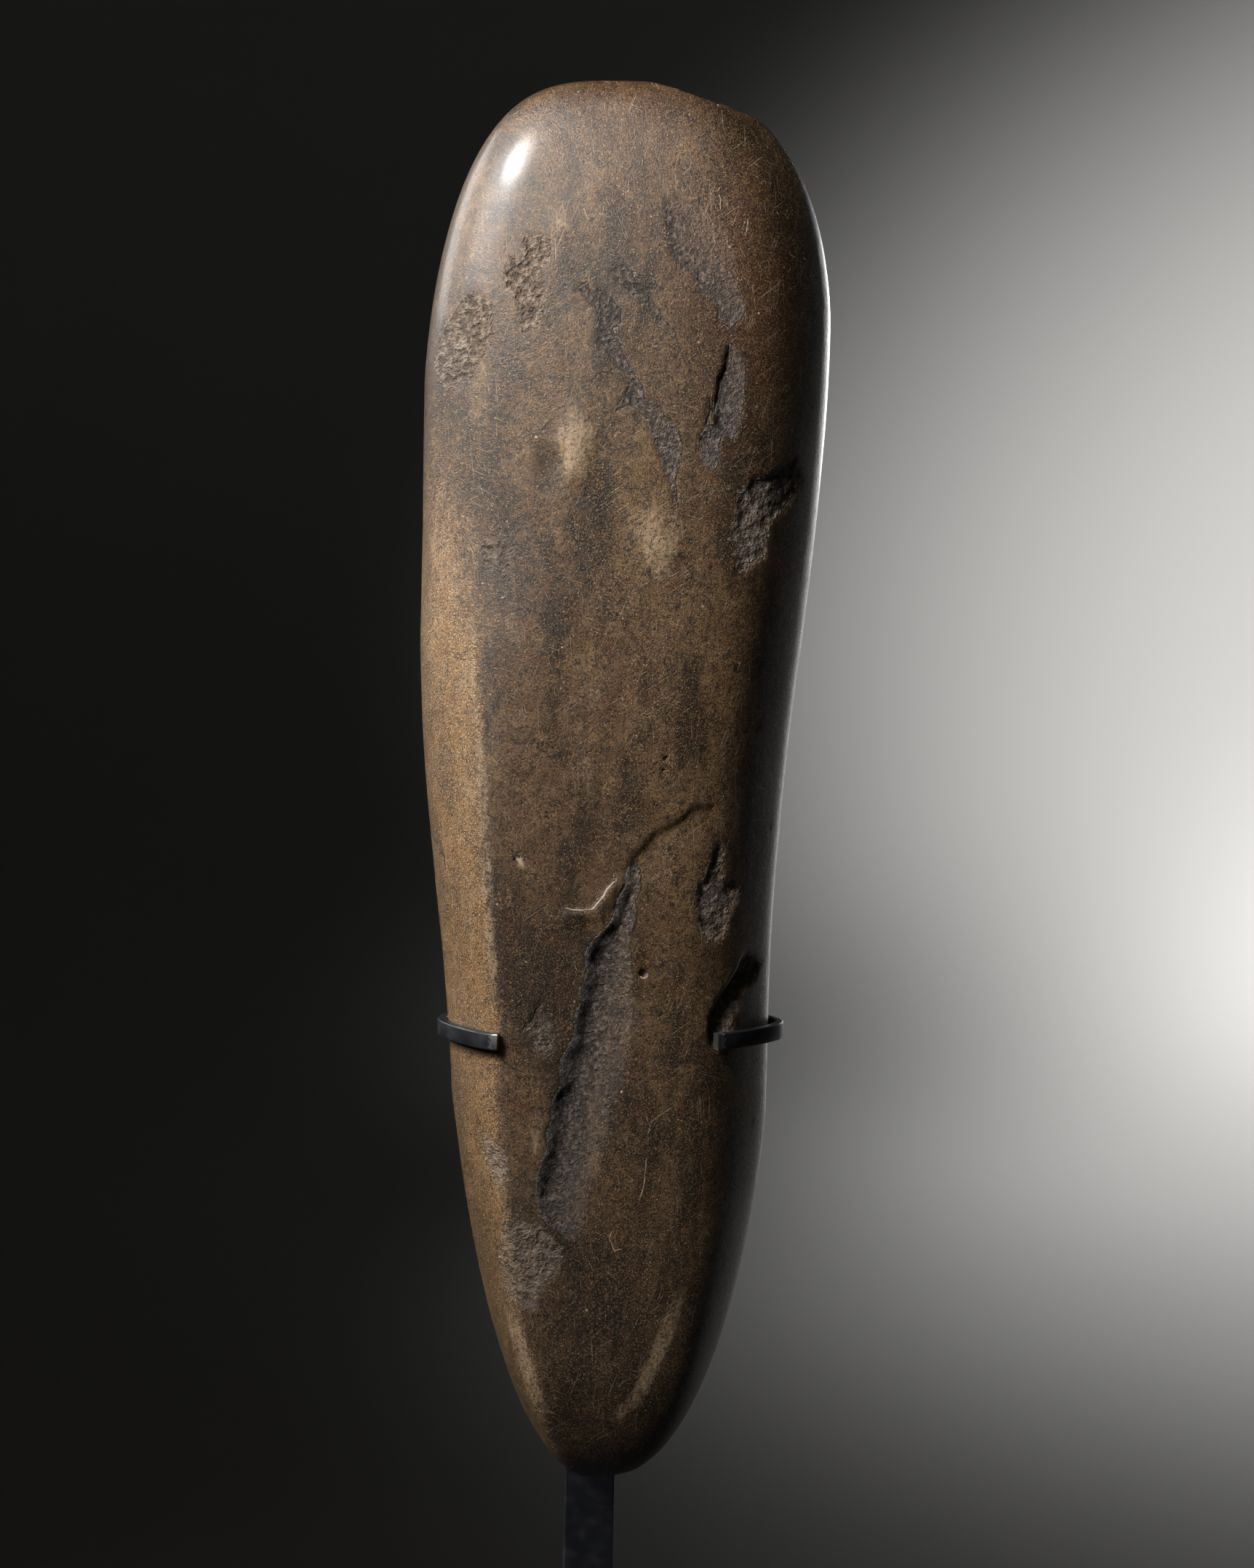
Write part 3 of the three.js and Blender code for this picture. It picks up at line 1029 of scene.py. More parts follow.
        # Edges of broken stone wander, so marks are looked up at slightly shifted places.
        shift = [sum(size * noise(points, cell, seed + k) for size, cell, seed in self.wander)
                 for k in (0, 1)]
        x, h = points[:, 0] + shift[0], points[:, 2] + shift[1]
        sink = 0.22 * fractal(points, 34.0, 5, 2) + 0.06 * noise(points, 9.0, 9)
        whole = Face(x, h)
        for side in Side:
            facing = smooth(side.value * normal[:, 1], 0.02, 0.25)
            here = facing > 0
            face = Face(x[here], h[here])
            for mark in MARKS[side]:
                mark.press(face)
            sink[here] += face.drop * facing[here]
            for name in ("scar", "peck", "rough", "stain", "pale"):
                getattr(whole, name)[here] = getattr(face, name)
            for all_over, drawn in zip(whole.lines, face.lines):
                all_over[0][here], all_over[1][here] = drawn
        front = normal[:, 1] < -0.1
        bore = np.full(len(points), FAR_OFF)
        for hole_x, hole_h, radius in HOLES:
            away = oval_distance(points[:, 0], points[:, 2], (hole_x, hole_h), (1, 1))
            sink += np.where(front, self.hole_depth * smooth(away, radius * 1.5, 0.0), 0.0)
            bore = np.minimum(bore, np.where(front, away - radius, FAR_OFF))
        pale = np.maximum(whole.pale, np.where(front, self.worn_rims(points), 0.0))
        tan, red, dark = self.zones(points, normal)
        smudge = 0.8 * smooth(oval_distance(x, h, *self.smudge), 1.0, 0.2)
        # Dark smudges and the zones' painted shade of the edges and the right side, with the
        # darkening towards the tip, go into one field.
        stain = np.maximum(np.maximum(whole.stain, smudge * (normal[:, 1] < 0)), dark)
        carved = (points - normal * sink[:, None]).reshape(grid.shape)
        fields = {
            "wounds": (whole.scar, whole.peck, whole.rough),
            "marks": (*whole.lines[0], stain),
            "scratches_and_glints": (*whole.lines[1], bore),
            "hues": (tan, red, pale),
        }
        return carved, {name: np.stack(parts, axis=1) for name, parts in fields.items()}

    def relief_tree(self) -> Tree:
        """Makes the Geometry Nodes tree that roughens the raw patches and adds pits.

        Returns:
            The tree.
        """
        tree, start = new_geometry_tree("grain_relief", tuple(self.relief))
        given = start.outputs
        wounds = add_node(tree, "GeometryNodeInputNamedAttribute", VECTORS, {"Name": "wounds"})
        parts = add_node(tree, "ShaderNodeSeparateXYZ", links={0: wounds})
        position = add_node(tree, "GeometryNodeInputPosition")
        moves = []
        for size, depth, mask, low, high in (
            ("Peck Size", "Peck Depth", "Y", -0.5, 0.8),
            ("Scar Size", "Scar Depth", "X", -0.1, 0.9),
        ):
            scale = add_node(tree, "ShaderNodeMath", DIVIDE, {0: 1.0, 1: given[size]})
            texture = add_node(tree, "ShaderNodeTexNoise", SEEDED, {
                "Vector": position, "W": given["Seed"], "Scale": scale, "Detail": 2.0,
                "Roughness": 0.6})
            raised = add_node(tree, "ShaderNodeMath", SUBTRACT, {0: texture, 1: 0.5})
            inside = add_node(tree, "ShaderNodeMapRange", SOFT_STEP, {
                0: parts.outputs[mask], "From Min": low, "From Max": high})
            masked = add_node(tree, "ShaderNodeMath", MULTIPLY, {0: raised, 1: inside})
            if mask == "X":
                masked = add_node(tree, "ShaderNodeMath", MULTIPLY, {
                    0: masked, 1: parts.outputs["Z"]})
            moves.append(add_node(tree, "ShaderNodeMath", MULTIPLY, {0: masked, 1: given[depth]}))
        scattered = add_node(tree, "GeometryNodeDistributePointsOnFaces", links={
            "Mesh": given["Geometry"], "Density": given["Pit Density"], "Seed": given["Seed"]})
        nearest = add_node(tree, "GeometryNodeProximity", {"target_element": "POINTS"}, {
            0: scattered})
        pit = add_node(tree, "ShaderNodeMapRange", SOFT_STEP, {
            "Value": nearest.outputs["Distance"], "From Min": 0.0,
            "From Max": given["Pit Radius"], "To Min": 1.0, "To Max": 0.0})
        sunk = add_node(tree, "ShaderNodeMath", MULTIPLY, {0: pit, 1: given["Pit Depth"]})
        lumps = add_node(tree, "ShaderNodeMath", ADD, dict(enumerate(moves)))
        total = add_node(tree, "ShaderNodeMath", SUBTRACT, {0: lumps, 1: sunk})
        normal = add_node(tree, "GeometryNodeInputNormal")
        offset = add_node(tree, "ShaderNodeVectorMath", SCALE, {0: normal, "Scale": total})
        stored = add_node(tree, "GeometryNodeStoreNamedAttribute", NUMBERS, {
            "Geometry": given["Geometry"], "Name": "pit", "Value": pit})
        return end_geometry_tree(tree, start, stored, offset)

    @staticmethod
    def faces(rows: int, columns: int) -> list:
        """Joins a grid that closes round into a skin, with a point at each end.

        Args:
            rows: how many rows the grid has.
            columns: how many points each row has.

        Returns:
            The faces' vertex numbers; the two end points come after the grid's.
        """
        ring = np.arange(columns)
        after = (ring + 1) % columns
        faces = []
        for low in range(0, (rows - 1) * columns, columns):
            high = low + columns
            faces += np.stack([low + ring, low + after, high + after, high + ring], 1).tolist()
        tip, crown, top = rows * columns, rows * columns + 1, (rows - 1) * columns
        faces += [(tip, int(b), int(a)) for a, b in zip(ring, after)]
        return faces + [(crown, int(top + a), int(top + b)) for a, b in zip(ring, after)]

    def build(self, material: Finish) -> Piece:
        """Makes the stone's mesh.

        Args:
            material: its finish.

        Returns:
            The finished object.
        """
        grid = self.surface(self.heights()[:, None], self.angles()[None, :])
        carved, fields = self.carve(self.break_off(grid))
        ends = [carved[0].mean(axis=0), carved[-1].mean(axis=0)]
        vertices = np.concatenate([carved.reshape(-1, 3), ends])
        vertices[:, 2] += self.tip_height
        piece = new_object("ground_blade", vertices * MM, [], self.faces(*carved.shape[:2]))
        for name, values in fields.items():
            values = np.concatenate([values, values[:1], values[-1:]])
            layer = piece.data.attributes.new(name, "FLOAT_VECTOR", "POINT")
            layer.data.foreach_set("vector", values.astype(np.float32).ravel())
        return run_nodes(piece, self.relief_tree(), self.relief | {
            "Seed": self.seed, "Material": material})


# ------------------------------------------------------------------ the stand


@dataclass
class Cradle:
    """The bent flat strap whose two claws hold the blade.

    Attributes:
        blade: the blade that it is bent round.
        thick: the strap's thickness in millimetres.
        claw: degrees from each of the blade's edges round to the claw's tip.
        gap: how far the strap stands off the blade.
        slack: how much more the right bend stands off.
        slack_reach: radians over which that bend comes back to the blade.
        steps: points along the strap.
        corner: the radius of its section's corners.
        hammering: how uneven its faces are.
        play: how much lower than the frame's piece it is, so that the unevenness fits.
        dent_scale: how many dents fit in a metre.
        seed: picks the dents' places.
    """

    blade: Blade
    thick: float = 2.2
    claw: float = 57.5
    gap: float = 0.3
    slack: float = 1.1
    slack_reach: float = 0.55
    steps: int = 150
    corner: float = 0.35
    hammering: float = 0.25
    play: float = 0.1
    dent_scale: float = 220.0
    seed: int = 3

    def path(self) -> Array:
        """Bends the strap's middle line from the right claw round the back to the left one.

        Returns:
            Its points in metres.
        """
        low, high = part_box("cradle")
        top = high.z / MM - self.blade.tip_height
        claw = math.radians(self.claw)
        angle = np.linspace(-claw, math.pi + claw, self.steps)
        here = self.blade.surface(np.array(top), angle)
        a_little_on = 0.01
        after = self.blade.surface(np.array(top), angle + a_little_on)
        tangent = (after - here)[:, :2]
        tangent /= np.linalg.norm(tangent, axis=1, keepdims=True)
        outward = np.stack([tangent[:, 1], -tangent[:, 0]], axis=1)
        stand = self.gap + self.slack * np.exp(-((angle / self.slack_reach) ** 2)) + self.thick / 2
        plan = here[:, :2] + outward * stand[:, None]
        level = np.full(len(plan), (low.z + high.z) / 2 / MM)
        return np.column_stack([plan, level]) * MM

    def strap_tree(self) -> Tree:
        """Makes the Geometry Nodes tree that sweeps the strap's section along its path.

        Returns:
            The tree.
        """
        tree, start = new_geometry_tree("bent_strap", ("Tall", "Thick", "Corner", "Hammering"))
        given = start.outputs
        line = add_node(tree, "GeometryNodeMeshToCurve", links={0: given["Geometry"]})
        share = add_node(tree, "GeometryNodeSplineParameter")
        marked = add_node(tree, "GeometryNodeStoreNamedAttribute", NUMBERS, {
            "Geometry": line, "Name": "share", "Value": share})
        upright = add_node(tree, "GeometryNodeSetCurveNormal", {"mode": "Z_UP"}, {0: marked})
        section = add_node(tree, "GeometryNodeCurvePrimitiveQuadrilateral", {
            "mode": "RECTANGLE"}, {"Width": given["Thick"], "Height": given["Tall"]})
        rounded = add_node(tree, "GeometryNodeFilletCurve", {"mode": "POLY"}, {
            "Curve": section, "Count": 3, "Radius": given["Corner"]})
        swept = add_node(tree, "GeometryNodeCurveToMesh", links={
            "Curve": upright, "Profile Curve": rounded, "Fill Caps": True})
        texture = add_node(tree, "ShaderNodeTexNoise", SEEDED, {
            "Vector": add_node(tree, "GeometryNodeInputPosition"), "W": given["Seed"],
            "Scale": self.dent_scale, "Detail": 1.0})
        centred = add_node(tree, "ShaderNodeVectorMath", SUBTRACT, {
            0: texture.outputs["Color"], 1: (0.5, 0.5, 0.5)})
        offset = add_node(tree, "ShaderNodeVectorMath", SCALE, {
            0: centred, "Scale": given["Hammering"]})
        return end_geometry_tree(tree, start, swept, offset)

    def build(self, material: Finish) -> Piece:
        """Sweeps the strap.

        Args:
            material: its finish.

        Returns:
            The finished object.
        """
        path = self.path()
        low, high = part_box("cradle")
        links = [(i, i + 1) for i in range(len(path) - 1)]
        piece = run_nodes(new_object("strap_cradle", path, links, []), self.strap_tree(), {
            "Tall": high.z - low.z - self.play * MM, "Thick": self.thick * MM,
            "Corner": self.corner * MM, "Hammering": self.hammering * MM,
            "Seed": self.seed, "Material": material})
        piece.data.shade_smooth()
        return piece


@dataclass
class Bar:
    """The flat post behind the blade, with a round top end and eased edges, in millimetres."""

    ease: float = 0.35
    steps: int = 24

    def build(self, material: Finish) -> Piece:
        """Makes the post where the frame has it.

        Args:
            material: its finish.

        Returns:
            The finished object.
        """
        low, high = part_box("post")
        half = (high.x - low.x) / 2
        middle = (high.x + low.x) / 2
        shoulder = high.z - half
        turns = np.linspace(0, math.pi, self.steps)
        arch = [(middle + half * math.cos(t), shoulder + half * math.sin(t)) for t in turns]
        outline = [(high.x, low.z), *arch, (low.x, low.z)]
        count = len(outline)
        vertices = np.array([(x, y, z) for y in (low.y, high.y) for x, z in outline])
        ring = [(i, i + count, (i + 1) % count + count, (i + 1) % count) for i in range(count)]
        faces = [tuple(range(count)), tuple(range(2 * count - 1, count - 1, -1)), *ring]
        piece = new_object("flat_post", vertices, [], faces)
        piece.data.materials.append(material)
        bevel(piece, "eased_edges", self.ease, 3, "ANGLE")
        piece.modifiers["eased_edges"].harden_normals = True
        return settle(piece)


@dataclass
class Foot:
    """The plate that the post stands in.

    Attributes:
        corner: the radius of its four upright corners, in millimetres.
        ease: the radius of its other edges.
        gap: the play between the post and its socket.
        crease: degrees from which an edge is shaded sharp.
    """

    corner: float = 3.0
    ease: float = 0.8
    gap: float = 0.3
    crease: float = 35.0

    def build(self, material: Finish) -> Piece:
        """Makes the plate where the frame has it.

        Args:
            material: its finish.

        Returns:
            The finished object.
        """
        low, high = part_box("foot")
        post_low, post_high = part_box("post")
        margin = Vector((self.gap, self.gap, self.gap)) * MM
        plate = self.block("plate_foot", low, high)
        bevel(plate, "round_corners", self.corner, 6, "WEIGHT")
        weights = plate.data.attributes.new("bevel_weight_edge", "FLOAT", "EDGE")
        for edge in plate.data.edges:
            a, b = (plate.data.vertices[i].co for i in edge.vertices)
            weights.data[edge.index].value = 1.0 if abs(a.z - b.z) > MM else 0.0
        bevel(plate, "eased_edges", self.ease, 4, "ANGLE")
        above = Vector((post_high.x, post_high.y, high.z)) + Vector((*margin[:2], 10 * MM))
        socket = self.block("socket", post_low - margin, above)
        cut = plate.modifiers.new("socket", "BOOLEAN")
        cut.object, cut.operation, cut.solver = socket, "DIFFERENCE", "EXACT"
        settle(plate)
        bpy.data.objects.remove(socket)
        plate.data.materials.clear()
        plate.data.materials.append(material)
        plate.data.set_sharp_from_angle(angle=math.radians(self.crease))
        return plate

    @staticmethod
    def block(name: str, low: Vector, high: Vector) -> Piece:
        """A box between two corners, as a start for modifiers.

        Args:
            name: the object's name.
            low: its low corner.
            high: its high corner.

        Returns:
            The new object.
        """
        corners = [(x, y, z) for z in (low.z, high.z) for y in (low.y, high.y)
                   for x in (low.x, high.x)]
        faces = [(0, 2, 3, 1), (4, 5, 7, 6), (0, 1, 5, 4), (2, 6, 7, 3), (0, 4, 6, 2),
                 (1, 3, 7, 5)]
        return new_object(name, np.array(corners), [], faces)


# ------------------------------------------------------------------ finishes


@dataclass(frozen=True)
class Speckle:
    """A random pattern of the stone: its size in millimetres and how fine it goes.

    An upright one is drawn out along the blade.
    """

    name: str
    size: float
    detail: float
    rough: float = 0.55
    upright: bool = False


@dataclass(frozen=True)
class Blend:
    """Patterns added up by weight, then softly stepped.

    Attributes:
        name: what the result is called.
        base: the pattern, or the number, that the others are added to.
        weights: pattern name to weight.
        step: the sums at which the result is 0 and 1, or nothing to keep the sum.
        within: the name of a mask that the result is kept to.
    """

    name: str
    base: str | float
    weights: dict[str, float] = field(default_factory=dict)
    step: Pair | None = None
    within: str = ""

    def lay(self, tree: Tree, made: dict) -> None:
        """Adds the nodes of the blend.

        Args:
            tree: the material's tree.
            made: the patterns so far by name, which gets the new one.
        """
        total = made.get(self.base, self.base)
        for pattern, weight in self.weights.items():
            total = add_node(tree, "ShaderNodeMath", MULTIPLY_ADD, {
                0: made[pattern], 1: weight, 2: total})
        if self.step:
            total = add_node(tree, "ShaderNodeMapRange", SOFT_STEP, {
                0: total, "From Min": self.step[0], "From Max": self.step[1]})
        if self.within:
            total = add_node(tree, "ShaderNodeMath", MULTIPLY, {0: total, 1: made[self.within]})
        made[self.name] = total


@dataclass(frozen=True)
class Layer:
    """A colour laid over what is below it.

    Attributes:
        tone: the colour's name in the finish, or the name of a coloured pattern.
        pattern: the pattern that it follows, or nothing for an even coat.
        start: the pattern's value where the colour starts to show.
        full: its value where it shows most.
        share: how much it shows there.
        within: the name of a mask that it is kept to.
    """

    tone: str
    pattern: str = ""
    start: float = 0.0
    full: float = 1.0
    share: float = 1.0
    within: str = ""


@dataclass(frozen=True)
class GroundStone:
    """Fine-grained dark volcanic stone, ground and handled to a soft polish.

    The polish gives a broad grey sheen with a small hot core. Scars and pecked patches show
    the raw grain, matt and greyer. All sizes are in millimetres. The grain and the scratches
    are drawn a little coarser than they are, so that they show.

    Attributes:
        fleck_size: how far apart the pale flecks may lie.
        hair_width: how wide a scratch is.
        hair_depth: how far a scratch keeps its place as the face slopes back.
        bed_size: how wide a bed of scratches is.
        wander_size: over what length a scratch bends.
        raw_roughness: the roughness of the raw stone.
        coat: the share of the polish's clear skin.
        coat_roughness: the roughness of that skin.
        ior: the stone's index of refraction.
    """

    dark: str = "#282018"
    body: str = "#5C4733"
    ochre: str = "#7A5F40"
    tan: str = "#866239"
    red: str = "#4A2E1F"
    worn: str = "#AC9274"
    pale_grain: str = "#B8A283"
    dark_grain: str = "#1B1510"
    scar: str = "#463B35"
    scar_pale: str = "#8C7F76"
    pecked: str = "#625347"
    pecked_pale: str = "#A0917F"
    crack: str = "#090706"
    ochre_grain: str = "#8F7148"
    fleck_size: float = 2.3
    hair_width: float = 0.13
    hair_depth: float = 7.0
    bed_size: float = 9.0
    wander_size: float = 7.0
    raw_roughness: float = 0.7
    coat: float = 0.32
    coat_roughness: float = 0.2
    ior: float = 1.55

    # What the mesh carries, by attribute: the names of its three parts.
    FIELDS = {
        "wounds": ("into_scar", "into_pecking", "rawness"),
        "marks": ("off_crack", "crack_width", "stain"),
        "scratches_and_glints": ("off_scratch_and_glint", "scratch_and_glint_width", "off_bore"),
        "hues": ("tan_zone", "red_zone", "pale_zone"),
    }
    SPECKLES = (
        Speckle("grain", 0.34, 2.0),
        Speckle("grit", 1.0, 5.0, 0.78),
        Speckle("streaks", 2.2, 5.0, 0.7, True),
        Speckle("patch", 3.0, 6.0, 0.75),
        Speckle("cloud", 13.0, 4.0, 0.6, True),
        Speckle("ragged", 1.1, 3.0),
        Speckle("redness", 6.0, 4.0),
        Speckle("scatter", 4.0, 2.0),
        Speckle("crumbs", 1.0, 4.0, 0.7),
        Speckle("lumps", 1.6, 4.0, 0.62),
    )
    # Where the raw stone shows, and the zones of the ground stone's colour.
    BLENDS = (
        Blend("jitter", -0.5, {"ragged": 1.0}),
        Blend("scar_edge", "into_scar", {"jitter": 0.9}),
        Blend("scar_mask", "scar_edge", {}, (-0.1, 0.2), "rawness"),
        Blend("peck_mask", "into_pecking", {"jitter": 3.6}, (-0.7, 0.9), "rawness"),
        Blend("hole_mask", "off_bore", {"jitter": 0.3}, (0.1, -0.3)),
        Blend("golden", 0.0, {"patch": 0.6, "cloud": 0.4}),
        Blend("flank", "tan_zone", {"streaks": 1.1, "grit": 1.4}, (1.35, 2.15)),
        Blend("pale_edge", "pale_zone", {}, (0.0, 0.5)),
        Blend("worn_patch", "pale_zone", {"streaks": 1.6, "grit": 1.4}, (1.5, 2.7), "pale_edge"),
        Blend("calm", 1.0, {"pale_zone": -0.4}),
        Blend("sparse", "scatter", {}, (0.45, 0.6)),
        Blend("chosen", "fleck_chance", {}, (0.8, 0.82), "fleck_tone"),
        Blend("fleck", "fleck_distance", {"jitter": 0.35}, (0.14, 0.05), "chosen"),
    )
    # Colours from broad clouds to single grains, then wear, raw stone and cracks, with painted
    # shade and painted highlights among them.
    LAYERS = (
        Layer("dark", "cloud", 0.55, 0.4, 0.85),
        Layer("ochre", "golden", 0.49, 0.62, 0.7),
        Layer("dark", "patch", 0.52, 0.34, 0.75),
        Layer("red", "redness", 0.48, 0.66, 0.5),
        Layer("red", "patch", 0.25, 0.5, 0.8, "red_zone"),
        Layer("tan", share=0.9, within="flank"),
        Layer("dark", "patch", 0.52, 0.34, 0.7, "flank"),
        Layer("worn", "streaks", 0.5, 0.66, 0.35, "flank"),
        # Dark smudges, and painted shade on the edges and the right side; the stone is also darker
        # towards the tip.
        Layer("dark", share=0.85, within="stain"),
        Layer("worn", within="worn_patch"),
        Layer("dark_grain", "grit", 0.5, 0.36, 0.65, "calm"),
        Layer("ochre_grain", "grit", 0.53, 0.72, 0.35),
        Layer("dark_grain", "grain", 0.48, 0.32, 0.8, "calm"),
        Layer("ochre_grain", "grain", 0.54, 0.68, 0.55),
        Layer("pale_grain", "grain", 0.55, 0.68, 0.75, "flank"),
        Layer("pale_grain", "grain", 0.67, 0.74, 0.8, "sparse"),
        Layer("pale_grain", within="fleck"),
        Layer("worn", share=0.6, within="scratches"),
        # Pale scratches and chips, and painted highlights on the hooked lip and round a hole's
        # lower edge.
        Layer("pale_grain", share=0.75, within="scratch_and_glint_line"),
        Layer("scar_colour", share=0.8, within="scar_mask"),
        Layer("peck_colour", share=0.8, within="peck_mask"),
        # Painted shade along the flake scars' edges.
        Layer("crack", share=0.45, within="painted_rim_shade"),
        # Cracks are drawn near-black, and so are the small holes, where it is painted shade.
        Layer("crack", within="gap"),
        Layer("dark_grain", "pit", 0.6, 0.95, 0.5),
    )
    # Raw stone: its grains are pale on top and dark between, a painted highlight on the tops and
    # painted shade in the hollows of the lumps that the bump raises; in the pecked patches the
    # pale is also the pale dust of the pecking.
    SCAR_LAYERS = (Layer("scar_pale", "crumbs", 0.51, 0.61, 0.9),
                   Layer("dark_grain", "crumbs", 0.5, 0.38, 0.85))
    PECK_LAYERS = (Layer("pecked_pale", "lumps", 0.46, 0.66),
                   Layer("dark", "lumps", 0.48, 0.36, 0.7))
    # Hair-fine scratches: their turn in radians, where their beds lie, and their length.
    SCRATCHES = ((0.35, 0.0, 5.0), (1.5, 40.0, 8.0), (-0.6, 80.0, 14.0), (1.15, 120.0, 4.0),
                 (-1.2, 160.0, 9.0))
    # Relief too fine for the mesh: pattern, the mask that it is kept to, and millimetres.
    RELIEF = (
        ("grit", "", 0.22), ("grain", "", 0.11), ("grain", "flank", 0.06),
        ("lumps", "peck_mask", 3.0), ("crumbs", "scar_mask", 2.4), ("scar_mask", "", -0.9),
        ("peck_mask", "", -1.2), ("crack_line", "", -0.5), ("hole_mask", "", -0.8),
        ("scratch_and_glint_line", "", 0.08), ("scratches", "", -0.02),
    )

    def patterns(self, tree: Tree, mm: Node) -> dict:
        """Adds the mesh's fields, the speckles and the blends.

        Args:
            tree: the material's tree.
            mm: the place on the piece in millimetres.

        Returns:
            Pattern name to the node or output that gives it.
        """
        pit = add_node(tree, "ShaderNodeAttribute", {"attribute_name": "pit"})
        made = {"pit": pit.outputs["Fac"]}
        for attribute, names in self.FIELDS.items():
            stored = add_node(tree, "ShaderNodeAttribute", {"attribute_name": attribute})
            parts = add_node(tree, "ShaderNodeSeparateXYZ", links={0: stored.outputs["Vector"]})
            made.update(zip(names, parts.outputs))
        upright = add_node(tree, "ShaderNodeMapping", links={
            "Vector": mm, "Scale": (1.0, 1.0, 0.3)})
        for speckle in self.SPECKLES:
            made[speckle.name] = add_node(tree, "ShaderNodeTexNoise", links={
                "Vector": upright if speckle.upright else mm, "Scale": 1.0 / speckle.size,
                "Detail": speckle.detail, "Roughness": speckle.rough})
        cells = add_node(tree, "ShaderNodeTexVoronoi", links={
            "Vector": mm, "Scale": 1.0 / self.fleck_size})
        chance = add_node(tree, "ShaderNodeSeparateXYZ", links={0: cells.outputs["Color"]})
        made["fleck_distance"] = cells.outputs["Distance"]
        made["fleck_chance"], made["fleck_tone"] = chance.outputs["X"], chance.outputs["Y"]
        for blend in self.BLENDS:
            blend.lay(tree, made)
        off = add_node(tree, "ShaderNodeMath", ABSOLUTE, {0: made["scar_edge"]})
        made["off_scar"] = off
        # Painted shade: a dark line along the flake scars' edges, strongest on their deep, steep
        # side.
        Blend("painted_rim_shade", "off_scar", {}, (0.32, 0.08), "rawness").lay(tree, made)
        return made

    def draw_lines(self, tree: Tree, made: dict) -> None:
        """Draws the cracks and the pale lines, which are scratches, chips and painted highlights,
        ragged and here and there broken off.

        Args:
            tree: the material's tree.
            made: the patterns by name, which gets the new ones.
        """
        for name, off, width, ragged in (("crack_line", "off_crack", "crack_width", 0.25),
                                         ("scratch_and_glint_line", "off_scratch_and_glint", "scratch_and_glint_width", 0.2)):
            Blend("wavy", off, {"jitter": ragged}).lay(tree, made)
            away = add_node(tree, "ShaderNodeMath", ABSOLUTE, {0: made["wavy"]})
            wide = add_node(tree, "ShaderNodeMath", MAXIMUM, {0: made[width], 1: 0.02})
            made["reach"] = add_node(tree, "ShaderNodeMath", DIVIDE, {0: away, 1: wide})
            Blend("unbroken", width, {"jitter": 0.3}, (0.04, 0.16)).lay(tree, made)
            Blend(name, "reach", {}, (1.2, 0.5), "unbroken").lay(tree, made)
        for name, one, other in (("gap", "crack_line", "hole_mask"),
                                 ("raw", "scar_mask", "peck_mask")):
            made[name] = add_node(tree, "ShaderNodeMath", MAXIMUM, {0: made[one], 1: made[other]})

    def scratch(self, tree: Tree, mm: Node, made: dict) -> None:
        """Draws the hair-fine scratches in several directions, each in its own beds.

        Args:
            tree: the material's tree.
            mm: the place on the piece in millimetres.
            made: the patterns by name, which gets the new one.
        """
        wander = add_node(tree, "ShaderNodeTexNoise", links={
            "Vector": mm, "Scale": 1 / self.wander_size, "Detail": 0.0}).outputs["Color"]
        bent = add_node(tree, "ShaderNodeVectorMath", SCALE, {0: wander, "Scale": 0.5})
        placed = add_node(tree, "ShaderNodeVectorMath", ADD, {0: mm, 1: bent})
        made["scratches"] = 0.0
        for turn, bed, length in self.SCRATCHES:
            turned = add_node(tree, "ShaderNodeMapping", {"vector_type": "TEXTURE"}, {
                "Vector": placed, "Location": (bed, 0, 0), "Rotation": (0, turn, 0),
                "Scale": (length, self.hair_depth, self.hair_width)})
            made["hair"] = add_node(tree, "ShaderNodeTexNoise", links={
                "Vector": turned, "Scale": 1.0, "Detail": 0.0, "Roughness": 0.55})
            here = add_node(tree, "ShaderNodeMapping", links={
                "Vector": mm, "Location": (0, bed, 0)})
            made["bed"] = add_node(tree, "ShaderNodeTexNoise", links={
                "Vector": here, "Scale": 1 / self.bed_size, "Detail": 1.0,
                "Roughness": 0.55})
            Blend("bed", "bed", {"pale_zone": 0.1}, (0.46, 0.62)).lay(tree, made)
            Blend("hair", "hair", {}, (0.75, 0.82), "bed").lay(tree, made)
            made["scratches"] = add_node(tree, "ShaderNodeMath", MAXIMUM, {
                0: made["scratches"], 1: made["hair"]})

    def colour(self, tree: Tree, made: dict, base: str, layers: tuple[Layer, ...]) -> Node:
        """Lays colours over one another.

        Args:
            tree: the material's tree.
            made: the patterns by name.
            base: the name of the lowest colour.
            layers: the colours over it, from the lowest up.

        Returns:
            The node that gives the colour on top.
        """
        colour = linear(getattr(self, base))
        for layer in layers:
            share = layer.share
            if layer.pattern:
                share = add_node(tree, "ShaderNodeMapRange", SOFT_STEP, {
                    0: made[layer.pattern], "From Min": layer.start, "From Max": layer.full,
                    "To Max": layer.share})
            if layer.within:
                share = add_node(tree, "ShaderNodeMath", MULTIPLY, {
                    0: share, 1: made[layer.within]})
            tone = made.get(layer.tone) or linear(getattr(self, layer.tone))
            colour = add_node(tree, "ShaderNodeMix", COLOURS, {
                "Factor": share, 6: colour, 7: tone})
        return colour

    def build(self) -> Finish:
        """Builds the stone's material.

        Returns:
            The material.
        """
        material, tree, shader, mm = new_material("ground_volcanic_stone", Slot.STONE)
        made = self.patterns(tree, mm)
        self.draw_lines(tree, made)
        self.scratch(tree, mm, made)
        made["scar_colour"] = self.colour(tree, made, "scar", self.SCAR_LAYERS)
        made["peck_colour"] = self.colour(tree, made, "pecked", self.PECK_LAYERS)
        colour = self.colour(tree, made, "body", self.LAYERS)
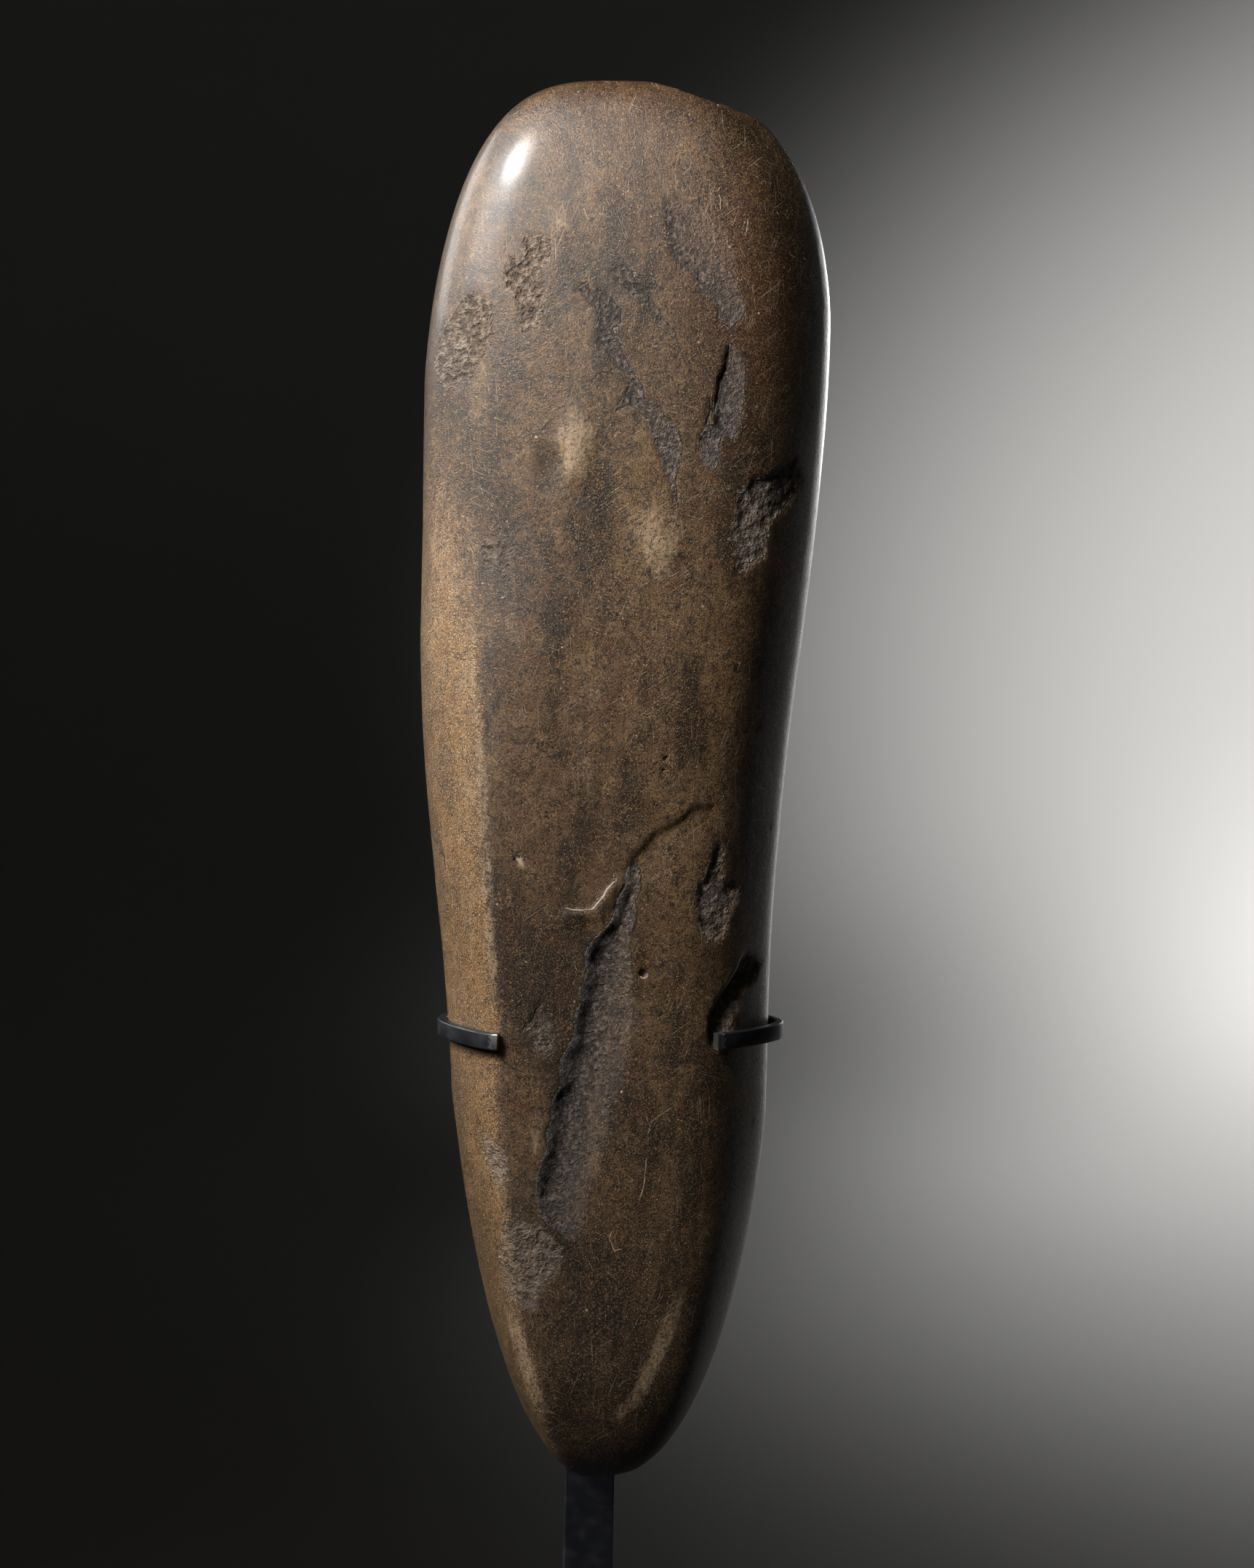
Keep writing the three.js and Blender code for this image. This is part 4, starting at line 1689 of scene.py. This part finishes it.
        # Polish: soft where ground, matt where raw.
        Blend("gloss", 0.205, {"grain": 0.25}).lay(tree, made)
        rough = add_node(tree, "ShaderNodeMix", links={
            "Factor": made["raw"], 2: made["gloss"], 3: self.raw_roughness})
        coat = add_node(tree, "ShaderNodeMapRange", SOFT_STEP, {
            0: made["raw"], "From Min": 0.6, "From Max": 0.0, "To Max": self.coat})
        height = 0.0
        for pattern, within, deep in self.RELIEF:
            part = made[pattern]
            if within:
                part = add_node(tree, "ShaderNodeMath", MULTIPLY, {0: part, 1: made[within]})
            height = add_node(tree, "ShaderNodeMath", MULTIPLY_ADD, {0: part, 1: deep, 2: height})
        bump = add_node(tree, "ShaderNodeBump", links={
            "Strength": 1.0, "Distance": MM, "Height": height})
        feed(tree, shader, {
            "Base Color": colour, "Roughness": rough, "Coat Weight": coat, "Normal": bump,
            "Coat Roughness": self.coat_roughness, "IOR": self.ior})
        return material


@dataclass(frozen=True)
class BlackPaint:
    """Black baked paint on steel, satin, with a faint orange-peel skin.

    Handling has rubbed the claws' ends down to grey metal. Sizes are in millimetres.
    """

    paint: str = "#15161A"
    dusty: str = "#232427"
    metal: str = "#8B8984"
    peel_size: float = 0.7
    peel_depth: float = 0.05
    dust_size: float = 4.0
    chip_size: float = 0.8
    rubbed: bool = False

    def build(self) -> Finish:
        """Builds the paint's material.

        Returns:
            The material.
        """
        name = "black_paint_rubbed" if self.rubbed else "black_paint"
        material, tree, shader, mm = new_material(name, Slot.PAINT)
        peel = add_node(tree, "ShaderNodeTexNoise", links={
            "Vector": mm, "Scale": 1 / self.peel_size, "Detail": 2.0})
        dust = add_node(tree, "ShaderNodeTexNoise", links={
            "Vector": mm, "Scale": 1 / self.dust_size, "Detail": 6.0})
        dusty = add_node(tree, "ShaderNodeMapRange", links={
            0: dust, "From Min": 0.5, "From Max": 0.75})
        colour = add_node(tree, "ShaderNodeMix", COLOURS, {
            "Factor": dusty, 6: linear(self.paint), 7: linear(self.dusty)})
        if self.rubbed:
            share = add_node(tree, "ShaderNodeAttribute", {"attribute_name": "share"})
            away = add_node(tree, "ShaderNodeMath", {"operation": "PINGPONG"}, {
                0: share.outputs["Fac"], 1: 0.5})
            near = add_node(tree, "ShaderNodeMapRange", links={
                0: away, "From Min": 0.026, "From Max": 0.004})
            chips = add_node(tree, "ShaderNodeTexNoise", links={
                "Vector": mm, "Scale": 1 / self.chip_size, "Detail": 4.0, "Roughness": 0.7})
            both = add_node(tree, "ShaderNodeMath", MULTIPLY, {0: near, 1: chips})
            bare = add_node(tree, "ShaderNodeMapRange", links={
                0: both, "From Min": 0.32, "From Max": 0.42})
            colour = add_node(tree, "ShaderNodeMix", COLOURS, {
                "Factor": bare, 6: colour, 7: linear(self.metal)})
            feed(tree, shader, {"Metallic": bare})
        rough = add_node(tree, "ShaderNodeMapRange", links={
            0: dust, "From Min": 0.3, "From Max": 0.7, "To Min": 0.34, "To Max": 0.52})
        bump = add_node(tree, "ShaderNodeBump", links={
            "Strength": 0.5, "Distance": self.peel_depth * MM, "Height": peel})
        feed(tree, shader, {"Base Color": colour, "Roughness": rough, "Normal": bump})
        return material


# ------------------------------------------------------------------ studio


@dataclass(frozen=True)
class Softbox:
    """An area light that lights the pieces alone.

    Attributes:
        name: its name.
        watts: its power.
        place: where its middle stands, in metres.
        target: what it points at.
        size: its width and height.
        shape: RECTANGLE or ELLIPSE.
        spread: degrees of its beam.
    """

    name: str
    watts: float
    place: Place
    target: Place
    size: Pair
    shape: str = "RECTANGLE"
    spread: float = 180.0


@dataclass(frozen=True)
class Glow:
    """A spot lamp that lights the paper alone; its beam is cone degrees wide."""

    name: str
    watts: float
    place: Place
    target: Place
    cone: float


@dataclass
class Studio:
    """The pale floor that sweeps up into a round backdrop, the lights and the camera.

    Attributes:
        floor_radius: where the flat floor ends and starts to rise, in metres.
        wall_radius: where the sheet has become a steep wall.
        wall_height: the wall's top.
        rings: how many rings of points the curve has.
        spokes: how many points each ring has.
        pale: the paper's colour.
        night: the room's faint even light.
        azimuth: the camera's way round from the front, in degrees, negative to the left.
        elevation: its height over the horizon, in degrees.
        roll: its tilt, in degrees.
        target: what it looks at, in metres.
        distance: how far it stands off.
        lens: its focal length, in millimetres.
    """

    floor_radius: float = 0.45
    wall_radius: float = 2.2
    wall_height: float = 2.4
    rings: int = 30
    spokes: int = 96
    pale: str = "#A6A5A3"
    night: str = "#080808"
    azimuth: float = -4.5
    elevation: float = 6.5
    roll: float = 1.279
    target: Place = (0.00341, 0.0, 0.23628)
    distance: float = 1.0268
    lens: float = 100.0

    MIDDLE = (0.0, 0.0, 0.25)
    SOFTBOXES = (
        Softbox("key_softbox", 0.85, (-0.53, -0.47, 0.88), (-0.01, 0.0, 0.38), (0.36, 0.22),
                "ELLIPSE", 38.0),
        Softbox("broad_softbox", 9.8, (-0.82, -0.46, 0.86), (0.0, 0.0, 0.24), (0.6, 0.5)),
        Softbox("top_softbox", 0.18, (0.1, 0.2, 1.75), MIDDLE, (0.9, 0.7)),
        Softbox("back_softbox", 1.9, (0.64, 1.25, 0.2), MIDDLE, (0.5, 0.5), spread=80.0),
        Softbox("rear_softbox", 2.8, (-1.0, 0.66, 0.75), MIDDLE, (0.6, 0.6), spread=100.0),
    )
    GLOWS = (
        Glow("backdrop_glow", 85.0, (0.28, 0.59, 0.96), (0.87, 1.36, 0.0), 78.0),
        Glow("floor_glow", 160.0, (0.75, 1.68, 1.0), (0.45, 0.66, 0.0), 28.0),
        Glow("middle_glow", 17.0, (0.3, 0.45, 1.1), (0.4, 0.88, 0.0), 40.0),
        Glow("foot_glow", 6.0, (0.2, -0.5, 1.6), (0.25, -0.35, 0.0), 42.0),
        Glow("front_glow", 16.0, (0.0, -0.8, 1.9), (-0.2, -1.9, 0.5), 80.0),
    )

    def backdrop(self) -> Piece:
        """Returns:
            The sheet.
        """
        profile = []
        for share in np.linspace(0, 1, self.rings):
            out = self.floor_radius + (self.wall_radius - self.floor_radius) * share
            profile.append((out, self.wall_height * 0.6 * share**3))
        profile.append((self.wall_radius + 0.35, self.wall_height))
        around = np.linspace(0, 2 * math.pi, self.spokes, endpoint=False)
        vertices = [(r * math.cos(a), r * math.sin(a), z) for r, z in profile for a in around]
        count = self.spokes
        faces = [tuple(range(count))]
        for low in range(0, (len(profile) - 1) * count, count):
            high = low + count
            for i in range(count):
                j = (i + 1) % count
                faces.append((low + i, high + i, high + j, low + j))
        sheet = new_object("studio_floor", np.array(vertices), [], faces)
        material = bpy.data.materials.new("pale_paper")
        material.use_nodes = True
        feed(material.node_tree, material.node_tree.nodes["Principled BSDF"], {
            "Base Color": linear(self.pale), "Roughness": 0.9, "Specular IOR Level": 0.1})
        sheet.data.materials.append(material)
        return sheet

    @staticmethod
    def light(given: Softbox | Glow, kind: str, only: bpy.types.Collection,
              settings: dict) -> None:
        """Adds one light.

        Args:
            given: its name, power, place and target.
            kind: AREA or SPOT.
            only: the pieces it lights.
            settings: the light's other properties.
        """
        lamp = bpy.data.lights.new(given.name, kind)
        lamp.energy = given.watts
        for key, value in settings.items():
            setattr(lamp, key, value)
        obj = bpy.data.objects.new(given.name, lamp)
        bpy.context.scene.collection.objects.link(obj)
        obj.visible_camera = False
        obj.light_linking.receiver_collection = only
        obj.location = given.place
        way = Vector(given.target) - Vector(given.place)
        obj.rotation_euler = way.to_track_quat("-Z", "Y").to_euler()

    def lights(self, lit: bpy.types.Collection, paper: bpy.types.Collection) -> None:
        """Adds the softboxes, the glows and the room's faint light.

        Args:
            lit: the pieces.
            paper: the floor and backdrop.
        """
        for box in self.SOFTBOXES:
            self.light(box, "AREA", lit, {
                "shape": box.shape, "size": box.size[0], "size_y": box.size[1],
                "spread": math.radians(box.spread)})
        for glow in self.GLOWS:
            self.light(glow, "SPOT", paper, {
                "spot_blend": 1.0, "spot_size": math.radians(glow.cone),
                "shadow_soft_size": 0.1})
        world = bpy.data.worlds.new("studio")
        world.use_nodes = True
        world.node_tree.nodes["Background"].inputs[0].default_value = linear(self.night)
        bpy.context.scene.world = world

    def camera(self) -> None:
        """Adds the camera: slightly left of the front, a little above, and rolled a degree."""
        azimuth, elevation, roll = (
            math.radians(v) for v in (self.azimuth, self.elevation, self.roll))
        back = Vector((math.sin(azimuth) * math.cos(elevation),
                       -math.cos(azimuth) * math.cos(elevation), math.sin(elevation)))
        level = Vector((math.cos(azimuth), math.sin(azimuth), 0.0))
        up = back.cross(level)
        right = level * math.cos(roll) + up * math.sin(roll)
        up = up * math.cos(roll) - level * math.sin(roll)
        data = bpy.data.cameras.new("camera")
        data.lens, data.sensor_width, data.clip_start = self.lens, 36.0, 50 * MM
        camera = bpy.data.objects.new("camera", data)
        place = Matrix.Translation(Vector(self.target) + back * self.distance)
        camera.matrix_world = place @ Matrix((right, up, back)).transposed().to_4x4()
        bpy.context.scene.collection.objects.link(camera)
        bpy.context.scene.camera = camera


def main() -> None:
    """Builds the studio and the four pieces, and ties each to the frame."""
    logging.basicConfig(level=logging.INFO, format="%(name)s: %(message)s")
    bpy.context.scene.view_settings.view_transform = "Standard"
    studio = Studio()
    studio.camera()
    sheet = studio.backdrop()
    stone = GroundStone().build()
    paint = BlackPaint().build()
    rubbed = BlackPaint(rubbed=True).build()
    blade = Blade()
    pieces = (
        (blade.build(stone), "stone", Slot.STONE),
        (Cradle(blade).build(rubbed), "cradle", Slot.PAINT),
        (Bar().build(paint), "post", Slot.PAINT),
        (Foot().build(paint), "foot", Slot.PAINT),
    )
    lit, paper = (bpy.data.collections.new(name) for name in ("lit_pieces", "lit_paper"))
    paper.objects.link(sheet)
    studio.lights(lit, paper)
    for piece, node, slot in pieces:
        lit.objects.link(piece)
        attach(piece, "root")
        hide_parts(node)
        log.info("%s: %d faces, for node %s", piece.name, len(piece.data.polygons), node)


if __name__ == "__main__":
    main()
